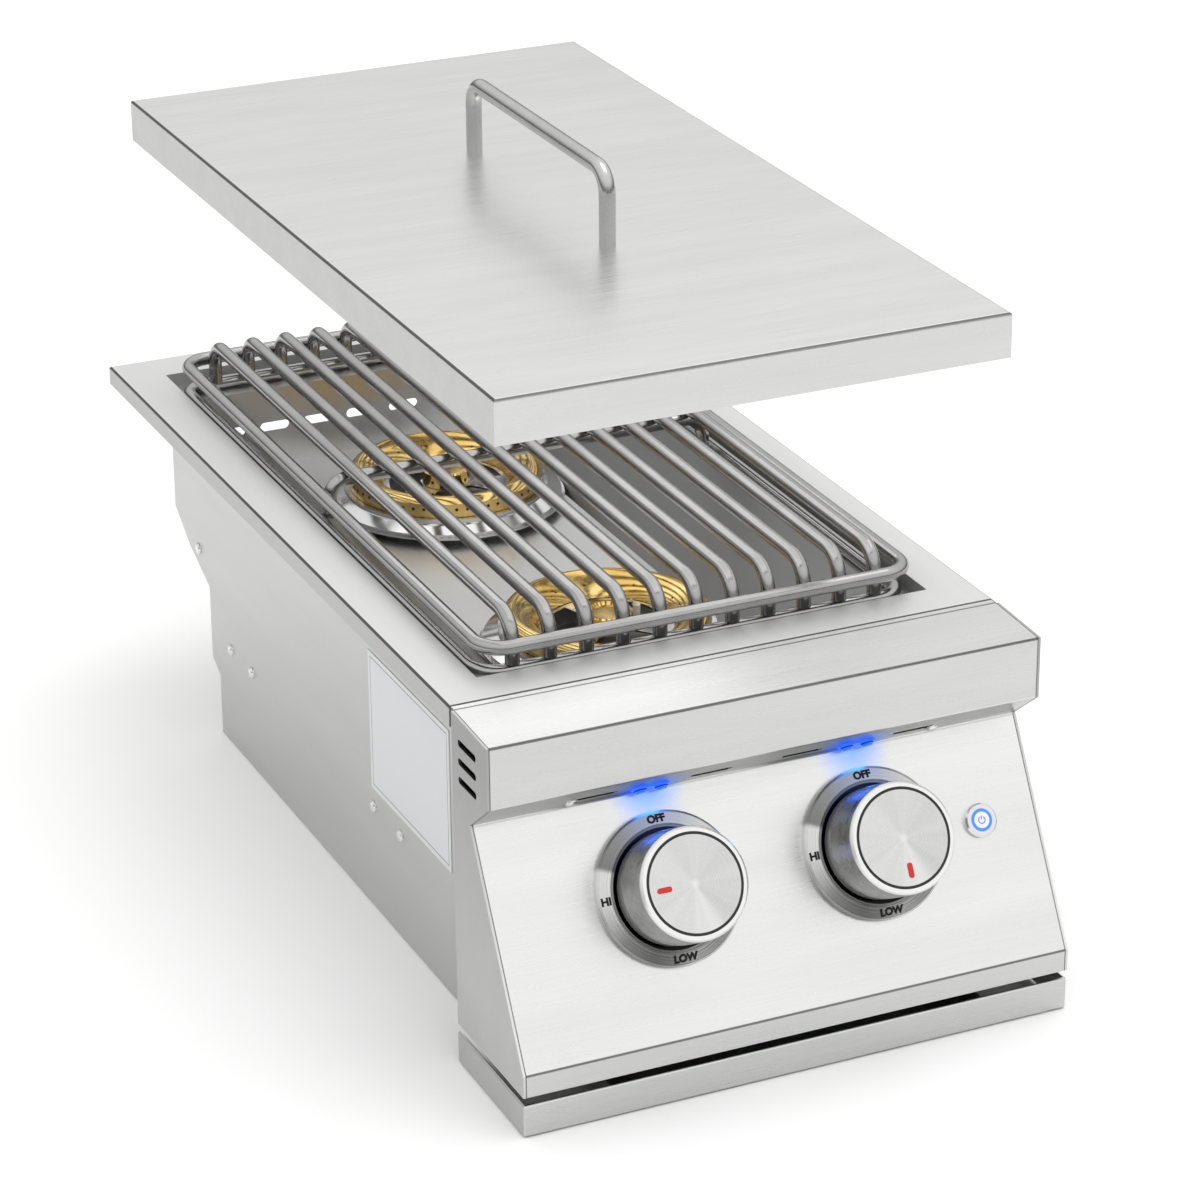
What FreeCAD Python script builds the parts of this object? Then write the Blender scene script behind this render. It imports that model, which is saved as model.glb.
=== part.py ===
"""Built-in double side burner with a lift-off lid.

Millimetres. X runs along the front, Y from the flange's front edge to the back, Z up from the floor.
X = 0 is the middle of the burner.
"""
import FreeCAD
import Part
import math
import os

import Sketcher
from FreeCAD import Placement, Rotation, Vector

# Driving sizes, in millimetres. Heights that are called drops are measured down from the flange top.
SIZES = {
    # body
    "body_height": 225.3,
    "body_width": 295.4,
    "metal": 1.2,
    "seam_gap": 0.3,
    "corner_drop": 4.0,
    # top flange and its opening
    "flange_width": 348.5,
    "flange_depth": 597.0,
    "apron_drop": 12.7,
    "opening_width": 290.3,
    "opening_depth": 535.4,
    "opening_front": 28.9,
    "lip_drop": 11.0,
    # stepped rear edge of the body
    "rear_upper_y": 550.0,
    "rear_middle_y": 522.8,
    "rear_lower_y": 486.0,
    "rear_foot_y": 472.0,
    "rear_upper_drop": 89.0,
    "rear_middle_drop": 107.9,
    "rear_lower_drop": 124.0,
    "rear_step_drop": 175.0,
    "rear_foot_drop": 183.0,
    "base_wall_height": 30.0,
    # firebox liner
    "shelf_half_width": 132.0,
    "shelf_front_y": 48.0,
    "shelf_rear_y": 538.0,
    "floor_half_width": 76.0,
    "floor_drop": 65.3,
    "air_slot_length": 21.0,
    "air_slot_height": 6.5,
    "air_slot_pitch": 31.3,
    "air_slot_count": 8,
    "air_slot_drop": 38.5,
    "air_window_drop": 44.0,
    "air_window_height": 13.0,
    "air_window_margin": 6.0,
    # control box
    "panel_width": 350.0,
    "panel_metal": 1.5,
    "panel_rear_drop": 0.3,
    "panel_top_drop": 2.8,
    "panel_front_y": -54.7,
    "panel_front_drop": 40.9,
    "face_top_y": -28.6,
    "face_top_drop": 61.7,
    "face_bottom_y": -99.4,
    "face_bottom_drop": 186.4,
    "panel_lip_drop": 200.0,
    "panel_back_y": -4.9,
    "vent_length": 25.5,
    "vent_height": 4.4,
    "vent_pitch": 11.5,
    "vent_front_y": -39.5,
    "vent_top_drop": 15.8,
    "overhang_slot_length": 26.0,
    "overhang_slot_width": 4.6,
    "overhang_slot_back": 22.0,
    "inner_slot_x": 29.0,
    "outer_slot_inset": 74.0,
    "bend_radius": 1.8,
    # knobs, bezels and the lamps over them
    "knob_spacing": 132.0,
    "knob_down_face": 58.0,
    "bezel_radius": 45.0,
    "bezel_height": 6.0,
    "bezel_well_radius": 35.2,
    "bezel_wall_height": 3.6,
    "bezel_bevel": 1.2,
    "bezel_lip": 2.0,
    "bezel_lip_drop": 0.6,
    "knob_radius": 32.8,
    "knob_base_height": 5.0,
    "knob_face_height": 42.0,
    "knob_chamfer": 1.4,
    "knob_wall": 2.5,
    "inset_outer_radius": 29.5,
    "inset_inner_radius": 27.8,
    "inset_depth": 1.2,
    "pointer_length": 9.0,
    "pointer_width": 3.2,
    "pointer_offset": 19.0,
    "pointer_height": 0.4,
    "stem_radius": 4.0,
    "stem_running_gap": 0.35,
    "stem_depth": 20.0,
    "collar_wall": 3.0,
    "collar_height": 2.0,
    "collar_depth": 3.2,
    "push_travel": 3.0,
    "lamp_length": 24.0,
    "lamp_width": 7.5,
    "lamp_back": 26.0,
    "lamp_rise": 1.0,
    "lamp_dome_offset": 6.6,
    "lamp_dome_radius": 3.7,
    "lamp_dome_rise": 3.0,
    "lamp_dome_bevel": 1.0,
    "lamp_housing_wall": 3.0,
    "lamp_housing_height": 8.0,
    # power button
    "button_inset": 38.5,
    "button_ring_radius": 10.2,
    "button_ring_height": 3.2,
    "button_light_radius": 6.8,
    "button_cap_radius": 4.9,
    "button_cap_height": 3.4,
    "button_travel": 1.5,
    "switch_radius": 8.5,
    "switch_length": 28.0,
    # valves, manifold and gas inlet
    "valve_side": 26.0,
    "valve_length": 35.0,
    "valve_depth": 14.0,
    "valve_neck_radius": 12.0,
    "valve_neck_wall": 3.0,
    "valve_outlet_radius": 6.0,
    "valve_stub_radius": 5.0,
    "manifold_radius": 9.5,
    "manifold_y": -22.0,
    "manifold_drop": 161.0,
    "manifold_left_x": -90.0,
    "manifold_bend": 14.0,
    "supply_x": 112.0,
    "inlet_radius": 10.67,
    "inlet_length": 20.0,
    "inlet_bore_radius": 6.0,
    "fitting_inner_length": 14.0,
    "fitting_flange_radius": 16.0,
    "fitting_flange_length": 4.0,
    "orifice_radius": 4.0,
    "orifice_bore_radius": 0.6,
    "orifice_length": 12.0,
    "mixer_radius": 11.0,
    "mixer_wall": 1.2,
    "mixer_front_y": 14.0,
    # burners
    "burner_front_y": 167.5,
    "burner_pitch": 258.0,
    "ring_radius": 64.0,
    "ring_crest_radius": 58.0,
    "ring_inner_radius": 41.0,
    "ring_height": 12.7,
    "ring_wall": 2.2,
    "ring_shoulder_drop": 3.6,
    "ring_bevel": 1.5,
    "ring_slope_drop": 1.8,
    "ring_slope_run": 6.0,
    "ring_foot_rise": 5.1,
    "ring_foot_run": 3.0,
    "port_radius": 1.1,
    "port_count": 56,
    "inner_port_radius": 0.8,
    "inner_port_count": 28,
    "cap_radius": 15.5,
    "cap_height": 10.0,
    "cap_rim_width": 3.0,
    "cap_bevel": 1.0,
    "cap_dish": 1.8,
    "cap_port_count": 16,
    "bowl_radius": 79.0,
    "bowl_depth": 8.5,
    "bowl_metal": 1.0,
    "bowl_step": 1.5,
    "bowl_collar_drop": 3.0,
    "bowl_rim_width": 2.0,
    "bowl_skirt_wall": 1.0,
    "window_hub_gap": 4.0,
    "window_ring_gap": 3.0,
    "window_spread": 40.0,
    "gas_hole_radius": 4.0,
    "floor_hole_radius": 34.0,
    "channel_outer_radius": 61.0,
    "channel_inner_radius": 43.0,
    "channel_height": 13.0,
    "casting_wall": 2.0,
    "hub_radius": 13.0,
    "spoke_width": 8.0,
    "arm_width": 28.0,
    "arm_reach": 80.0,
    "electrode_radius": 2.5,
    "electrode_offset": 25.0,
    "electrode_height": 28.0,
    "electrode_angle": 20.0,
    "electrode_tip_radius": 0.7,
    "electrode_tip_length": 6.0,
    "electrode_tip_turn": -40.0,
    "bracket_width": 6.0,
    "bracket_metal": 2.0,
    "module_inset": 55.0,
    "module_z": 130.0,
    "module_width": 40.0,
    "module_depth": 16.0,
    "module_height": 60.0,
    "head_gap": 0.3,
    # drip tray
    "tray_front_height": 19.3,
    "tray_front_radius": 1.4,
    "tray_ground_gap": 0.8,
    "tray_width": 240.0,
    "tray_depth": 440.0,
    "tray_wall": 14.0,
    "tray_floor_rise": 4.0,
    "tray_running_gap": 0.4,
    "tray_side_gap": 1.0,
    "rail_foot": 14.0,
    "rail_height": 14.0,
    "rail_length": 350.0,
    # cooking grate
    "rod_radius": 4.4,
    "rod_pitch": 23.4,
    "rod_count": 11,
    "rod_bend": 16.0,
    "rod_top_rise": 26.0,
    "loop_height": 18.6,
    "grate_gap": 0.3,
    "loop_half_width": 137.5,
    "loop_corner": 17.0,
    "legs_front_y": 42.6,
    "legs_rear_y": 543.0,
    "cross_rod_y": 301.0,
    "cross_rod_bend": 12.0,
    # lid
    "lid_width": 316.0,
    "lid_depth": 598.0,
    "lid_height": 27.0,
    "lid_metal": 1.0,
    "lid_rest_x": -7.0,
    "lid_rest_y": 248.5,
    "lid_rest_rise": 199.7,
    "lid_edge_radius": 2.0,
    "handle_radius": 5.0,
    "handle_spacing": 199.0,
    "handle_rise": 46.0,
    "handle_bend": 14.0,
    # screws and the blank plate
    "screw_head_radius": 4.2,
    "screw_head_height": 2.0,
    "screw_shank_radius": 1.8,
    "screw_length": 8.0,
    "plate_front_y": 66.0,
    "plate_length": 127.0,
    "plate_height": 93.0,
    "plate_top_drop": 49.0,
    "plate_thickness": 0.4,
    "fascia_screw_inset": 60.0,
    "screw_rear_y": 504.0,
    "screw_pair_y": 427.0,
    "screw_pair_pitch": 40.0,
    "front_screw_pair_y": 169.0,
    "front_screw_pitch": 44.0,
    "floor_screw_x": 66.0,
    "floor_screw_y": 222.0,
    "screw_low_drop": 154.5,
    "screw_rear_drop": 103.0,
}


class Size:
    """A number together with the spreadsheet formula that gives it."""

    def __init__(self, formula, value):
        self.formula = formula
        self.value = value

    def join(self, sign, other, value):
        return Size("(%s %s %s)" % (self.formula, sign, sized(other).formula), value)

    def __add__(self, other):
        return self.join("+", other, self.value + sized(other).value)

    def __sub__(self, other):
        return self.join("-", other, self.value - sized(other).value)

    def __mul__(self, other):
        return self.join("*", other, self.value * sized(other).value)

    def __truediv__(self, other):
        return self.join("/", other, self.value / sized(other).value)

    def __neg__(self):
        return Size("(0 - %s)" % self.formula, -self.value)

    def __radd__(self, other):
        return sized(other) + self

    def __rsub__(self, other):
        return sized(other) - self

    def __rmul__(self, other):
        return sized(other) * self


def sized(number):
    """A plain number as a Size."""
    if isinstance(number, Size):
        return number
    return Size("(%.6f)" % number, float(number))


def root(size):
    return Size("sqrt(%s)" % size.formula, math.sqrt(size.value))


def slope_angle(rise, run):
    """The angle in degrees whose tangent is rise over run."""
    formula = "atan2(%s; %s)" % (rise.formula, run.formula)
    return Size(formula, math.degrees(math.atan2(rise.value, run.value)))


doc = FreeCAD.newDocument("side_burner")
sheet = doc.addObject("Spreadsheet::Sheet", "sizes")
pieces = []


class Table:
    """Every size by its name."""


s = Table()
for row, (alias, number) in enumerate(SIZES.items(), start=1):
    sheet.set("A%d" % row, alias)
    sheet.set("B%d" % row, str(number))
    sheet.setAlias("B%d" % row, alias)
    setattr(s, alias, Size("sizes.%s" % alias, float(number)))
doc.recompute()


# Helpers that tie objects to the sheet

def tie(thing, path, size):
    """Give a property its size by formula."""
    thing.setExpression(path, sized(size).formula)


def keep(thing, label):
    """List the object as a finished piece."""
    thing.Label = label
    pieces.append(thing)
    return thing


def place(thing, x=0, y=0, z=0, axis=None, angle=None):
    """Put the object's own origin at x, y, z, turned by angle about axis."""
    if axis is not None:
        thing.Placement = Placement(Vector(), Rotation(Vector(*axis), sized(angle).value))
        tie(thing, "Placement.Rotation.Angle", angle)
    for letter, size in zip("xyz", (x, y, z)):
        tie(thing, "Placement.Base.%s" % letter, size)
    return thing


def box(name, low, size):
    """A block from its low corner and its three sizes."""
    block = doc.addObject("Part::Box", name)
    tie(block, "Length", size[0])
    tie(block, "Width", size[1])
    tie(block, "Height", size[2])
    return place(block, *low)


def middle_box(name, x, low_y, low_z, width, depth, height):
    """A block centred on x."""
    x = sized(x)
    width = sized(width)
    return box(name, (x - width / 2, low_y, low_z), (width, depth, height))


def rod(name, radius, length, start, axis=None, angle=None):
    """A round bar, up from start or turned by angle about axis."""
    bar = doc.addObject("Part::Cylinder", name)
    tie(bar, "Radius", radius)
    tie(bar, "Height", length)
    return place(bar, *start, axis=axis, angle=angle)


def rod_along_y(name, radius, length, start):
    return rod(name, radius, length, start, axis=(1, 0, 0), angle=-90)


def fuse(name, *things):
    joined = doc.addObject("Part::MultiFuse", name)
    joined.Shapes = list(things)
    joined.Refine = True
    return joined


def gather(name, *things):
    """Several separate solids as one object."""
    group = doc.addObject("Part::Compound", name)
    group.Links = list(things)
    return group


def cut(name, thing, *tools):
    """The thing less every tool."""
    result = doc.addObject("Part::Cut", name)
    result.Base = thing
    result.Tool = tools[0] if len(tools) == 1 else fuse(name + "_tools", *tools)
    return result


def new_body(name):
    return doc.addObject("PartDesign::Body", name)


def sketch_on(body, plane, name, offset=None):
    """A sketch on one of the body's own planes, moved along its normal by offset."""
    sketch = body.newObject("Sketcher::SketchObject", name)
    support = [f for f in body.Origin.OriginFeatures if f.Role == plane + "_Plane"][0]
    sketch.AttachmentSupport = [(support, "")]
    sketch.MapMode = "FlatFace"
    if offset is not None:
        tie(sketch, "AttachmentOffset.Base.z", offset)
    return sketch


def fix(sketch, kind, item, point, size):
    """Tie one coordinate of a point to its size."""
    size = sized(size)
    number = sketch.addConstraint(Sketcher.Constraint(kind, -1, 1, item, point, size.value))
    tie(sketch, "Constraints[%d]" % number, size)


def outline(sketch, corners):
    """A closed outline of straight lines, each corner tied to its two sizes."""
    corners = [(sized(a), sized(b)) for a, b in corners]
    points = [Vector(a.value, b.value, 0) for a, b in corners]
    first = sketch.GeometryCount
    count = len(points)
    for i in range(count):
        sketch.addGeometry(Part.LineSegment(points[i], points[(i + 1) % count]))
    for i in range(count):
        after = first + (i + 1) % count
        sketch.addConstraint(Sketcher.Constraint("Coincident", first + i, 2, after, 1))
    for i, (a, b) in enumerate(corners):
        fix(sketch, "DistanceX", first + i, 1, a)
        fix(sketch, "DistanceY", first + i, 1, b)
    return sketch


def circle(sketch, a, b, radius):
    """A circle with its centre at a, b."""
    a = sized(a)
    b = sized(b)
    radius = sized(radius)
    item = sketch.GeometryCount
    sketch.addGeometry(Part.Circle(Vector(a.value, b.value, 0), Vector(0, 0, 1), radius.value))
    number = sketch.addConstraint(Sketcher.Constraint("Radius", item, radius.value))
    tie(sketch, "Constraints[%d]" % number, radius)
    fix(sketch, "DistanceX", item, 3, a)
    fix(sketch, "DistanceY", item, 3, b)
    return sketch


def slot(sketch, a, b, length, width):
    """A slot with round ends, along the sketch's first axis, centred on a, b."""
    radius = sized(width) / 2
    reach = sized(length) / 2 - radius
    left = sized(a) - reach
    right = sized(a) + reach
    b = sized(b)
    r = radius.value
    low = b.value - r
    high = b.value + r
    first = sketch.GeometryCount
    up = Vector(0, 0, 1)
    quarter = math.pi / 2
    left_circle = Part.Circle(Vector(left.value, b.value, 0), up, r)
    right_circle = Part.Circle(Vector(right.value, b.value, 0), up, r)
    sketch.addGeometry(Part.LineSegment(Vector(left.value, low, 0), Vector(right.value, low, 0)))
    sketch.addGeometry(Part.ArcOfCircle(right_circle, -quarter, quarter))
    sketch.addGeometry(Part.LineSegment(Vector(right.value, high, 0), Vector(left.value, high, 0)))
    sketch.addGeometry(Part.ArcOfCircle(left_circle, quarter, 3 * quarter))
    for i in range(4):
        after = first + (i + 1) % 4
        sketch.addConstraint(Sketcher.Constraint("Tangent", first + i, 2, after, 1))
    number = sketch.addConstraint(Sketcher.Constraint("Radius", first + 1, r))
    tie(sketch, "Constraints[%d]" % number, radius)
    fix(sketch, "DistanceX", first + 1, 3, right)
    fix(sketch, "DistanceY", first + 1, 3, b)
    fix(sketch, "DistanceX", first + 3, 3, left)
    return sketch


def pad(body, sketch, length, both_ways=False, backwards=False):
    feature = body.newObject("PartDesign::Pad", sketch.Name + "_pad")
    feature.Profile = sketch
    feature.Midplane = both_ways
    feature.Reversed = backwards
    tie(feature, "Length", length)
    return feature


def pocket_through(body, sketch):
    """Cut the sketch through everything, both ways."""
    feature = body.newObject("PartDesign::Pocket", sketch.Name + "_pocket")
    feature.Profile = sketch
    feature.Type = "ThroughAll"
    feature.Midplane = True
    return feature


def plate(name, plane, corners, thickness, both_ways=False, backwards=False):
    """A body padded from one outline."""
    body = new_body(name)
    sketch = outline(sketch_on(body, plane, name + "_outline"), corners)
    pad(body, sketch, thickness, both_ways, backwards)
    return body


def turned(name, profile):
    """A body of revolution about Z from an outline of radius and height."""
    body = new_body(name)
    sketch = outline(sketch_on(body, "XZ", name + "_outline"), profile)
    feature = body.newObject("PartDesign::Revolution", name + "_turned")
    feature.Profile = sketch
    feature.ReferenceAxis = (sketch, ["V_Axis"])
    feature.Angle = 360.0
    return body


def hollow(body, thickness, is_open):
    """Leave the body as a sheet, without the faces that is_open picks."""
    doc.recompute()
    base = body.Tip
    names = []
    for number, face in enumerate(base.Shape.Faces, start=1):
        if is_open(face):
            names.append("Face%d" % number)
    feature = body.newObject("PartDesign::Thickness", body.Name + "_sheet")
    feature.Base = (base, names)
    feature.Mode = 0
    feature.Join = 1
    feature.Reversed = True
    tie(feature, "Value", thickness)
    return body


def normal_of(face):
    low_u, high_u, low_v, high_v = face.ParameterRange
    return face.normalAt((low_u + high_u) / 2, (low_v + high_v) / 2)


def round_edges(body, radius, is_edge):
    """Round the edges of the body's last feature that is_edge picks."""
    doc.recompute()
    base = body.Tip
    names = []
    for number, edge in enumerate(base.Shape.Edges, start=1):
        if is_edge(edge):
            names.append("Edge%d" % number)
    feature = body.newObject("PartDesign::Fillet", body.Name + "_round")
    feature.Base = (base, names)
    tie(feature, "Radius", radius)
    return body


def rounded_block(name, width, depth, height, radius):
    """A block centred on x = 0 and y = 0, up from z = 0, with its top edges rounded."""
    half = width / 2
    half_depth = depth / 2
    body = new_body(name)
    corners = [(-half, -half_depth), (half, -half_depth), (half, half_depth), (-half, half_depth)]
    pad(body, outline(sketch_on(body, "XY", name + "_outline"), corners), height)
    top = height.value - 0.01
    return round_edges(body, radius, lambda edge: edge.BoundBox.ZMin > top)


def folded_pan(name, width, depth, height, metal, radius):
    """Sheet metal folded down on all four sides of a flat top."""
    outer = rounded_block(name + "_outer", width, depth, height, radius)
    inner = rounded_block(name + "_inner", width - metal * 2, depth - metal * 2, height - metal,
                          radius - metal)
    return cut(name + "_sheet", outer, inner)


def pipe(name, radius, path, section):
    """A round bar along a bent path.

    path is its plane, the plane's offset, its corners, the bend and whether it is closed; section is
    the plane, the offset and the centre of the circle at the path's start.
    """
    body = new_body(name)
    section_plane, section_offset, centre = section
    profile = sketch_on(body, section_plane, name + "_section", section_offset)
    circle(profile, centre[0], centre[1], radius)
    path_plane, path_offset, corners, bend, closed = path
    spine = sketch_on(body, path_plane, name + "_path", path_offset)
    bent_path(spine, corners, bend, closed)
    doc.recompute()
    sweep = body.newObject("PartDesign::AdditivePipe", name + "_bar")
    sweep.Profile = profile
    sweep.Spine = spine
    return body


def bent_path(sketch, corners, bend, closed=False):
    """A path of straight runs with an arc of radius bend at each inner corner."""
    corners = [(sized(a), sized(b)) for a, b in corners]
    count = len(corners)
    points = [Vector(a.value, b.value, 0) for a, b in corners]
    turns = range(count) if closed else range(1, count - 1)
    arcs = {i: corner_arc(points[i - 1], points[i], points[(i + 1) % count], bend.value) for i in turns}
    lines = {}
    for i in range(count if closed else count - 1):
        j = (i + 1) % count
        start = arcs[i][1] if i in arcs else points[i]
        end = arcs[j][0] if j in arcs else points[j]
        lines[i] = sketch.GeometryCount
        sketch.addGeometry(Part.LineSegment(start, end))
    for i, (near, far, middle, turns_left) in arcs.items():
        item = sketch.GeometryCount
        sketch.addGeometry(arc_between(near, far, middle, turns_left))
        join_arc(sketch, lines[(i - 1) % count], item, lines[i], turns_left, bend)
    for i, line in lines.items():
        pin_run(sketch, line, corners[i], corners[(i + 1) % count])
    if not closed:
        pin_end(sketch, lines[0], 1, corners[0], corners[1])
        pin_end(sketch, lines[count - 2], 2, corners[-1], corners[-2])
    return sketch


def corner_arc(before, corner, after, bend):
    """Where the arc leaves each run, its centre, and whether the path turns left there."""
    back = (before - corner).normalize()
    ahead = (after - corner).normalize()
    half = back.getAngle(ahead) / 2
    step = bend / math.tan(half)
    middle = corner + (back + ahead).normalize() * (bend / math.sin(half))
    turns_left = ahead.cross(back).z > 0
    return corner + back * step, corner + ahead * step, middle, turns_left


def arc_between(near, far, middle, turns_left):
    """The short arc between two points; its own direction is always to the left."""
    start, end = (near, far) if turns_left else (far, near)
    first = math.atan2(start.y - middle.y, start.x - middle.x)
    last = math.atan2(end.y - middle.y, end.x - middle.x)
    if last < first:
        last += 2 * math.pi
    return Part.ArcOfCircle(Part.Circle(middle, Vector(0, 0, 1), (near - middle).Length), first, last)


def join_arc(sketch, coming, arc, going, turns_left, bend):
    """Join an arc smoothly to the runs at both ends and tie its radius."""
    near, far = (1, 2) if turns_left else (2, 1)
    sketch.addConstraint(Sketcher.Constraint("Tangent", coming, 2, arc, near))
    sketch.addConstraint(Sketcher.Constraint("Tangent", arc, far, going, 1))
    number = sketch.addConstraint(Sketcher.Constraint("Radius", arc, bend.value))
    tie(sketch, "Constraints[%d]" % number, bend)


def pin_run(sketch, line, start, end):
    """Tie a straight run, which is parallel to one of the axes, to its corner's size."""
    if abs(start[0].value - end[0].value) < 0.001:
        sketch.addConstraint(Sketcher.Constraint("Vertical", line))
        fix(sketch, "DistanceX", line, 1, start[0])
    else:
        sketch.addConstraint(Sketcher.Constraint("Horizontal", line))
        fix(sketch, "DistanceY", line, 1, start[1])


def pin_end(sketch, line, point, corner, neighbour):
    """Tie the free end of the first or last run along that run."""
    if abs(corner[0].value - neighbour[0].value) < 0.001:
        fix(sketch, "DistanceY", line, point, corner[1])
    else:
        fix(sketch, "DistanceX", line, point, corner[0])


# Levels and planes that several pieces share

flange_under = s.body_height - s.metal
apron_foot = s.body_height - s.apron_drop
shelf_top = s.body_height - s.lip_drop
shelf_under = shelf_top - s.metal
floor_top = s.body_height - s.floor_drop
floor_under = floor_top - s.metal
side_x = s.body_width / 2
burner_rear_y = s.burner_front_y + s.burner_pitch
shaft_hole_radius = s.stem_radius + s.panel_metal

panel_bottom = s.body_height - s.panel_lip_drop
panel_inside_half = s.panel_width / 2 - s.panel_metal
button_x = s.panel_width / 2 - s.button_inset
module_x = s.panel_width / 2 - s.module_inset
knob_x = s.knob_spacing / 2
outer_slot_x = s.panel_width / 2 - s.outer_slot_inset
fascia_screw_x = s.panel_width / 2 - s.fascia_screw_inset
bulkhead_y = s.panel_back_y - s.metal
panel_top_slope = (s.panel_top_drop - s.panel_rear_drop) / (-s.seam_gap - s.panel_front_y)
manifold_z = s.body_height - s.manifold_drop

face_run = s.face_top_y - s.face_bottom_y
face_rise = s.face_bottom_drop - s.face_top_drop
face_length = root(face_run * face_run + face_rise * face_rise)
face_turn = slope_angle(face_rise, face_run)
face_top_z = s.body_height - s.face_top_drop

under_run = s.face_top_y - s.panel_front_y
under_rise = s.face_top_drop - s.panel_front_drop
under_length = root(under_run * under_run + under_rise * under_rise)
under_turn = slope_angle(under_rise, -under_run)

seat_top = floor_top + s.channel_height + s.bowl_metal
head_bottom = seat_top + s.head_gap
valve_middle = s.valve_depth + s.valve_length / 2
valve_z = face_top_z - (face_run * valve_middle + face_rise * s.knob_down_face) / face_length
grate_low_z = shelf_top + s.grate_gap + s.rod_radius
grate_loop_z = grate_low_z + s.loop_height
rods_z = s.body_height + s.rod_top_rise
loop_front_y = s.legs_front_y - s.rod_radius * 2
loop_rear_y = s.legs_rear_y + s.rod_radius * 2
lid_top = s.body_height + s.lid_rest_rise


def on_face(thing, x, down, out=0):
    """Stand the object on the slanted face: its Z points out, its Y points up the slope."""
    down = sized(down)
    out = sized(out)
    y = s.face_top_y - (face_run * down + face_rise * out) / face_length
    z = face_top_z + (face_run * out - face_rise * down) / face_length
    return place(thing, x, y, z, axis=(1, 0, 0), angle=face_turn)


def on_overhang(thing, x, back, out=0):
    """Stand the object on the sloped underside of the overhang: its Z points out and down."""
    back = sized(back)
    out = sized(out)
    y = s.panel_front_y + (under_run * back - under_rise * out) / under_length
    z = s.body_height - s.panel_front_drop - (under_rise * back + under_run * out) / under_length
    return place(thing, x, y, z, axis=(1, 0, 0), angle=under_turn)


# Top flange

def make_top_flange():
    frame = folded_pan("flange_frame", s.flange_width, s.flange_depth, s.apron_drop, s.metal, s.bend_radius)
    place(frame, 0, s.flange_depth / 2, apron_foot)
    lip_z = s.body_height - s.lip_drop
    lip = middle_box("flange_lip", 0, s.opening_front - s.metal, lip_z, s.opening_width + s.metal * 2,
                     s.opening_depth + s.metal * 2, s.lip_drop)
    hole = middle_box("flange_hole", 0, s.opening_front, lip_z - s.metal, s.opening_width, s.opening_depth,
                      s.lip_drop + s.metal * 2)
    return keep(cut("top_flange_cut", fuse("flange_with_lip", frame, lip), hole), "top_flange")


# Body panels

def side_screw_places():
    """Where the screws sit on each side panel: one at the rear and two pairs low down."""
    rear = s.screw_pair_pitch / 2
    front = s.front_screw_pitch / 2
    low_rows = [s.screw_pair_y + rear, s.screw_pair_y - rear, s.front_screw_pair_y + front,
                s.front_screw_pair_y - front]
    return [(s.screw_rear_y, s.screw_rear_drop)] + [(y, s.screw_low_drop) for y in low_rows]


def rear_corners(shift, top):
    """The stepped rear edge from the top down, moved in by shift."""
    steps = [
        (s.rear_upper_y, s.body_height - s.rear_upper_drop),
        (s.rear_middle_y, s.body_height - s.rear_middle_drop),
        (s.rear_lower_y, s.body_height - s.rear_lower_drop),
        (s.rear_lower_y, s.body_height - s.rear_step_drop),
        (s.rear_foot_y, s.body_height - s.rear_foot_drop),
    ]
    moved = [(y - shift, z + shift) for y, z in steps]
    return [(s.rear_upper_y - shift, top)] + moved + [(s.rear_foot_y - shift, s.base_wall_height)]


def make_side_panel(label, side):
    """A side panel; its front corner leaves room for a counter under the flange's apron."""
    clear_y = s.metal + s.seam_gap
    clear_z = apron_foot - s.corner_drop
    corners = [(s.panel_back_y, s.base_wall_height), (s.panel_back_y, clear_z), (clear_y, clear_z),
               (clear_y, flange_under)] + rear_corners(0, flange_under)
    body = plate(label + "_sheet", "YZ", corners, s.metal, both_ways=True)
    holes = sketch_on(body, "YZ", label + "_holes")
    for y, drop in side_screw_places():
        circle(holes, y, s.body_height - drop, s.screw_shank_radius)
    pocket_through(body, holes)
    place(body, (side_x - s.metal / 2) * side)
    return keep(body, label)


def make_rear_panel():
    """The stepped rear panel, with a window that lets air in behind the liner's slots."""
    between = s.body_width - s.metal * 2
    top = shelf_under - s.seam_gap
    corners = rear_corners(0, top) + rear_corners(s.metal, top)[::-1]
    body = plate("rear_sheet", "YZ", corners, between, both_ways=True)
    hole = sketch_on(body, "XZ", "rear_hole")
    circle(hole, s.supply_x, manifold_z, s.inlet_radius + s.seam_gap)
    window_length = air_row_length() + s.air_window_margin * 2
    slot(hole, 0, s.body_height - s.air_window_drop, window_length, s.air_window_height)
    pocket_through(body, hole)
    return keep(body, "rear_panel")


def air_row_length():
    """The length of the liner's row of air slots."""
    return s.air_slot_pitch * (s.air_slot_count - 1) + s.air_slot_length


def make_base_pan():
    depth = s.rear_foot_y - s.panel_back_y
    outer = middle_box("base_outer", 0, s.panel_back_y, 0, s.body_width, depth, s.base_wall_height)
    inner = middle_box("base_inner", 0, s.panel_back_y - s.metal, s.metal, s.body_width - s.metal * 2,
                       depth, s.base_wall_height)
    return keep(cut("base_pan_cut", outer, inner), "base_pan")


def make_front_bulkhead():
    """The upright plate between the control box and the body, with holes for the gas parts."""
    top = panel_top(bulkhead_y) - s.panel_metal * root(1 + panel_top_slope * panel_top_slope)
    half = panel_inside_half
    corners = [(-half, panel_bottom), (half, panel_bottom), (half, top), (-half, top)]
    body = new_body("bulkhead_sheet")
    sketch = outline(sketch_on(body, "XZ", "bulkhead_outline", -s.panel_back_y), corners)
    pad(body, sketch, s.metal)
    holes = sketch_on(body, "XZ", "bulkhead_holes")
    for side in (-1, 1):
        circle(holes, knob_x * side, valve_z, s.valve_outlet_radius + s.seam_gap)
    circle(holes, s.supply_x, manifold_z, s.manifold_radius + s.seam_gap)
    pocket_through(body, holes)
    return keep(body, "front_bulkhead")


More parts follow.
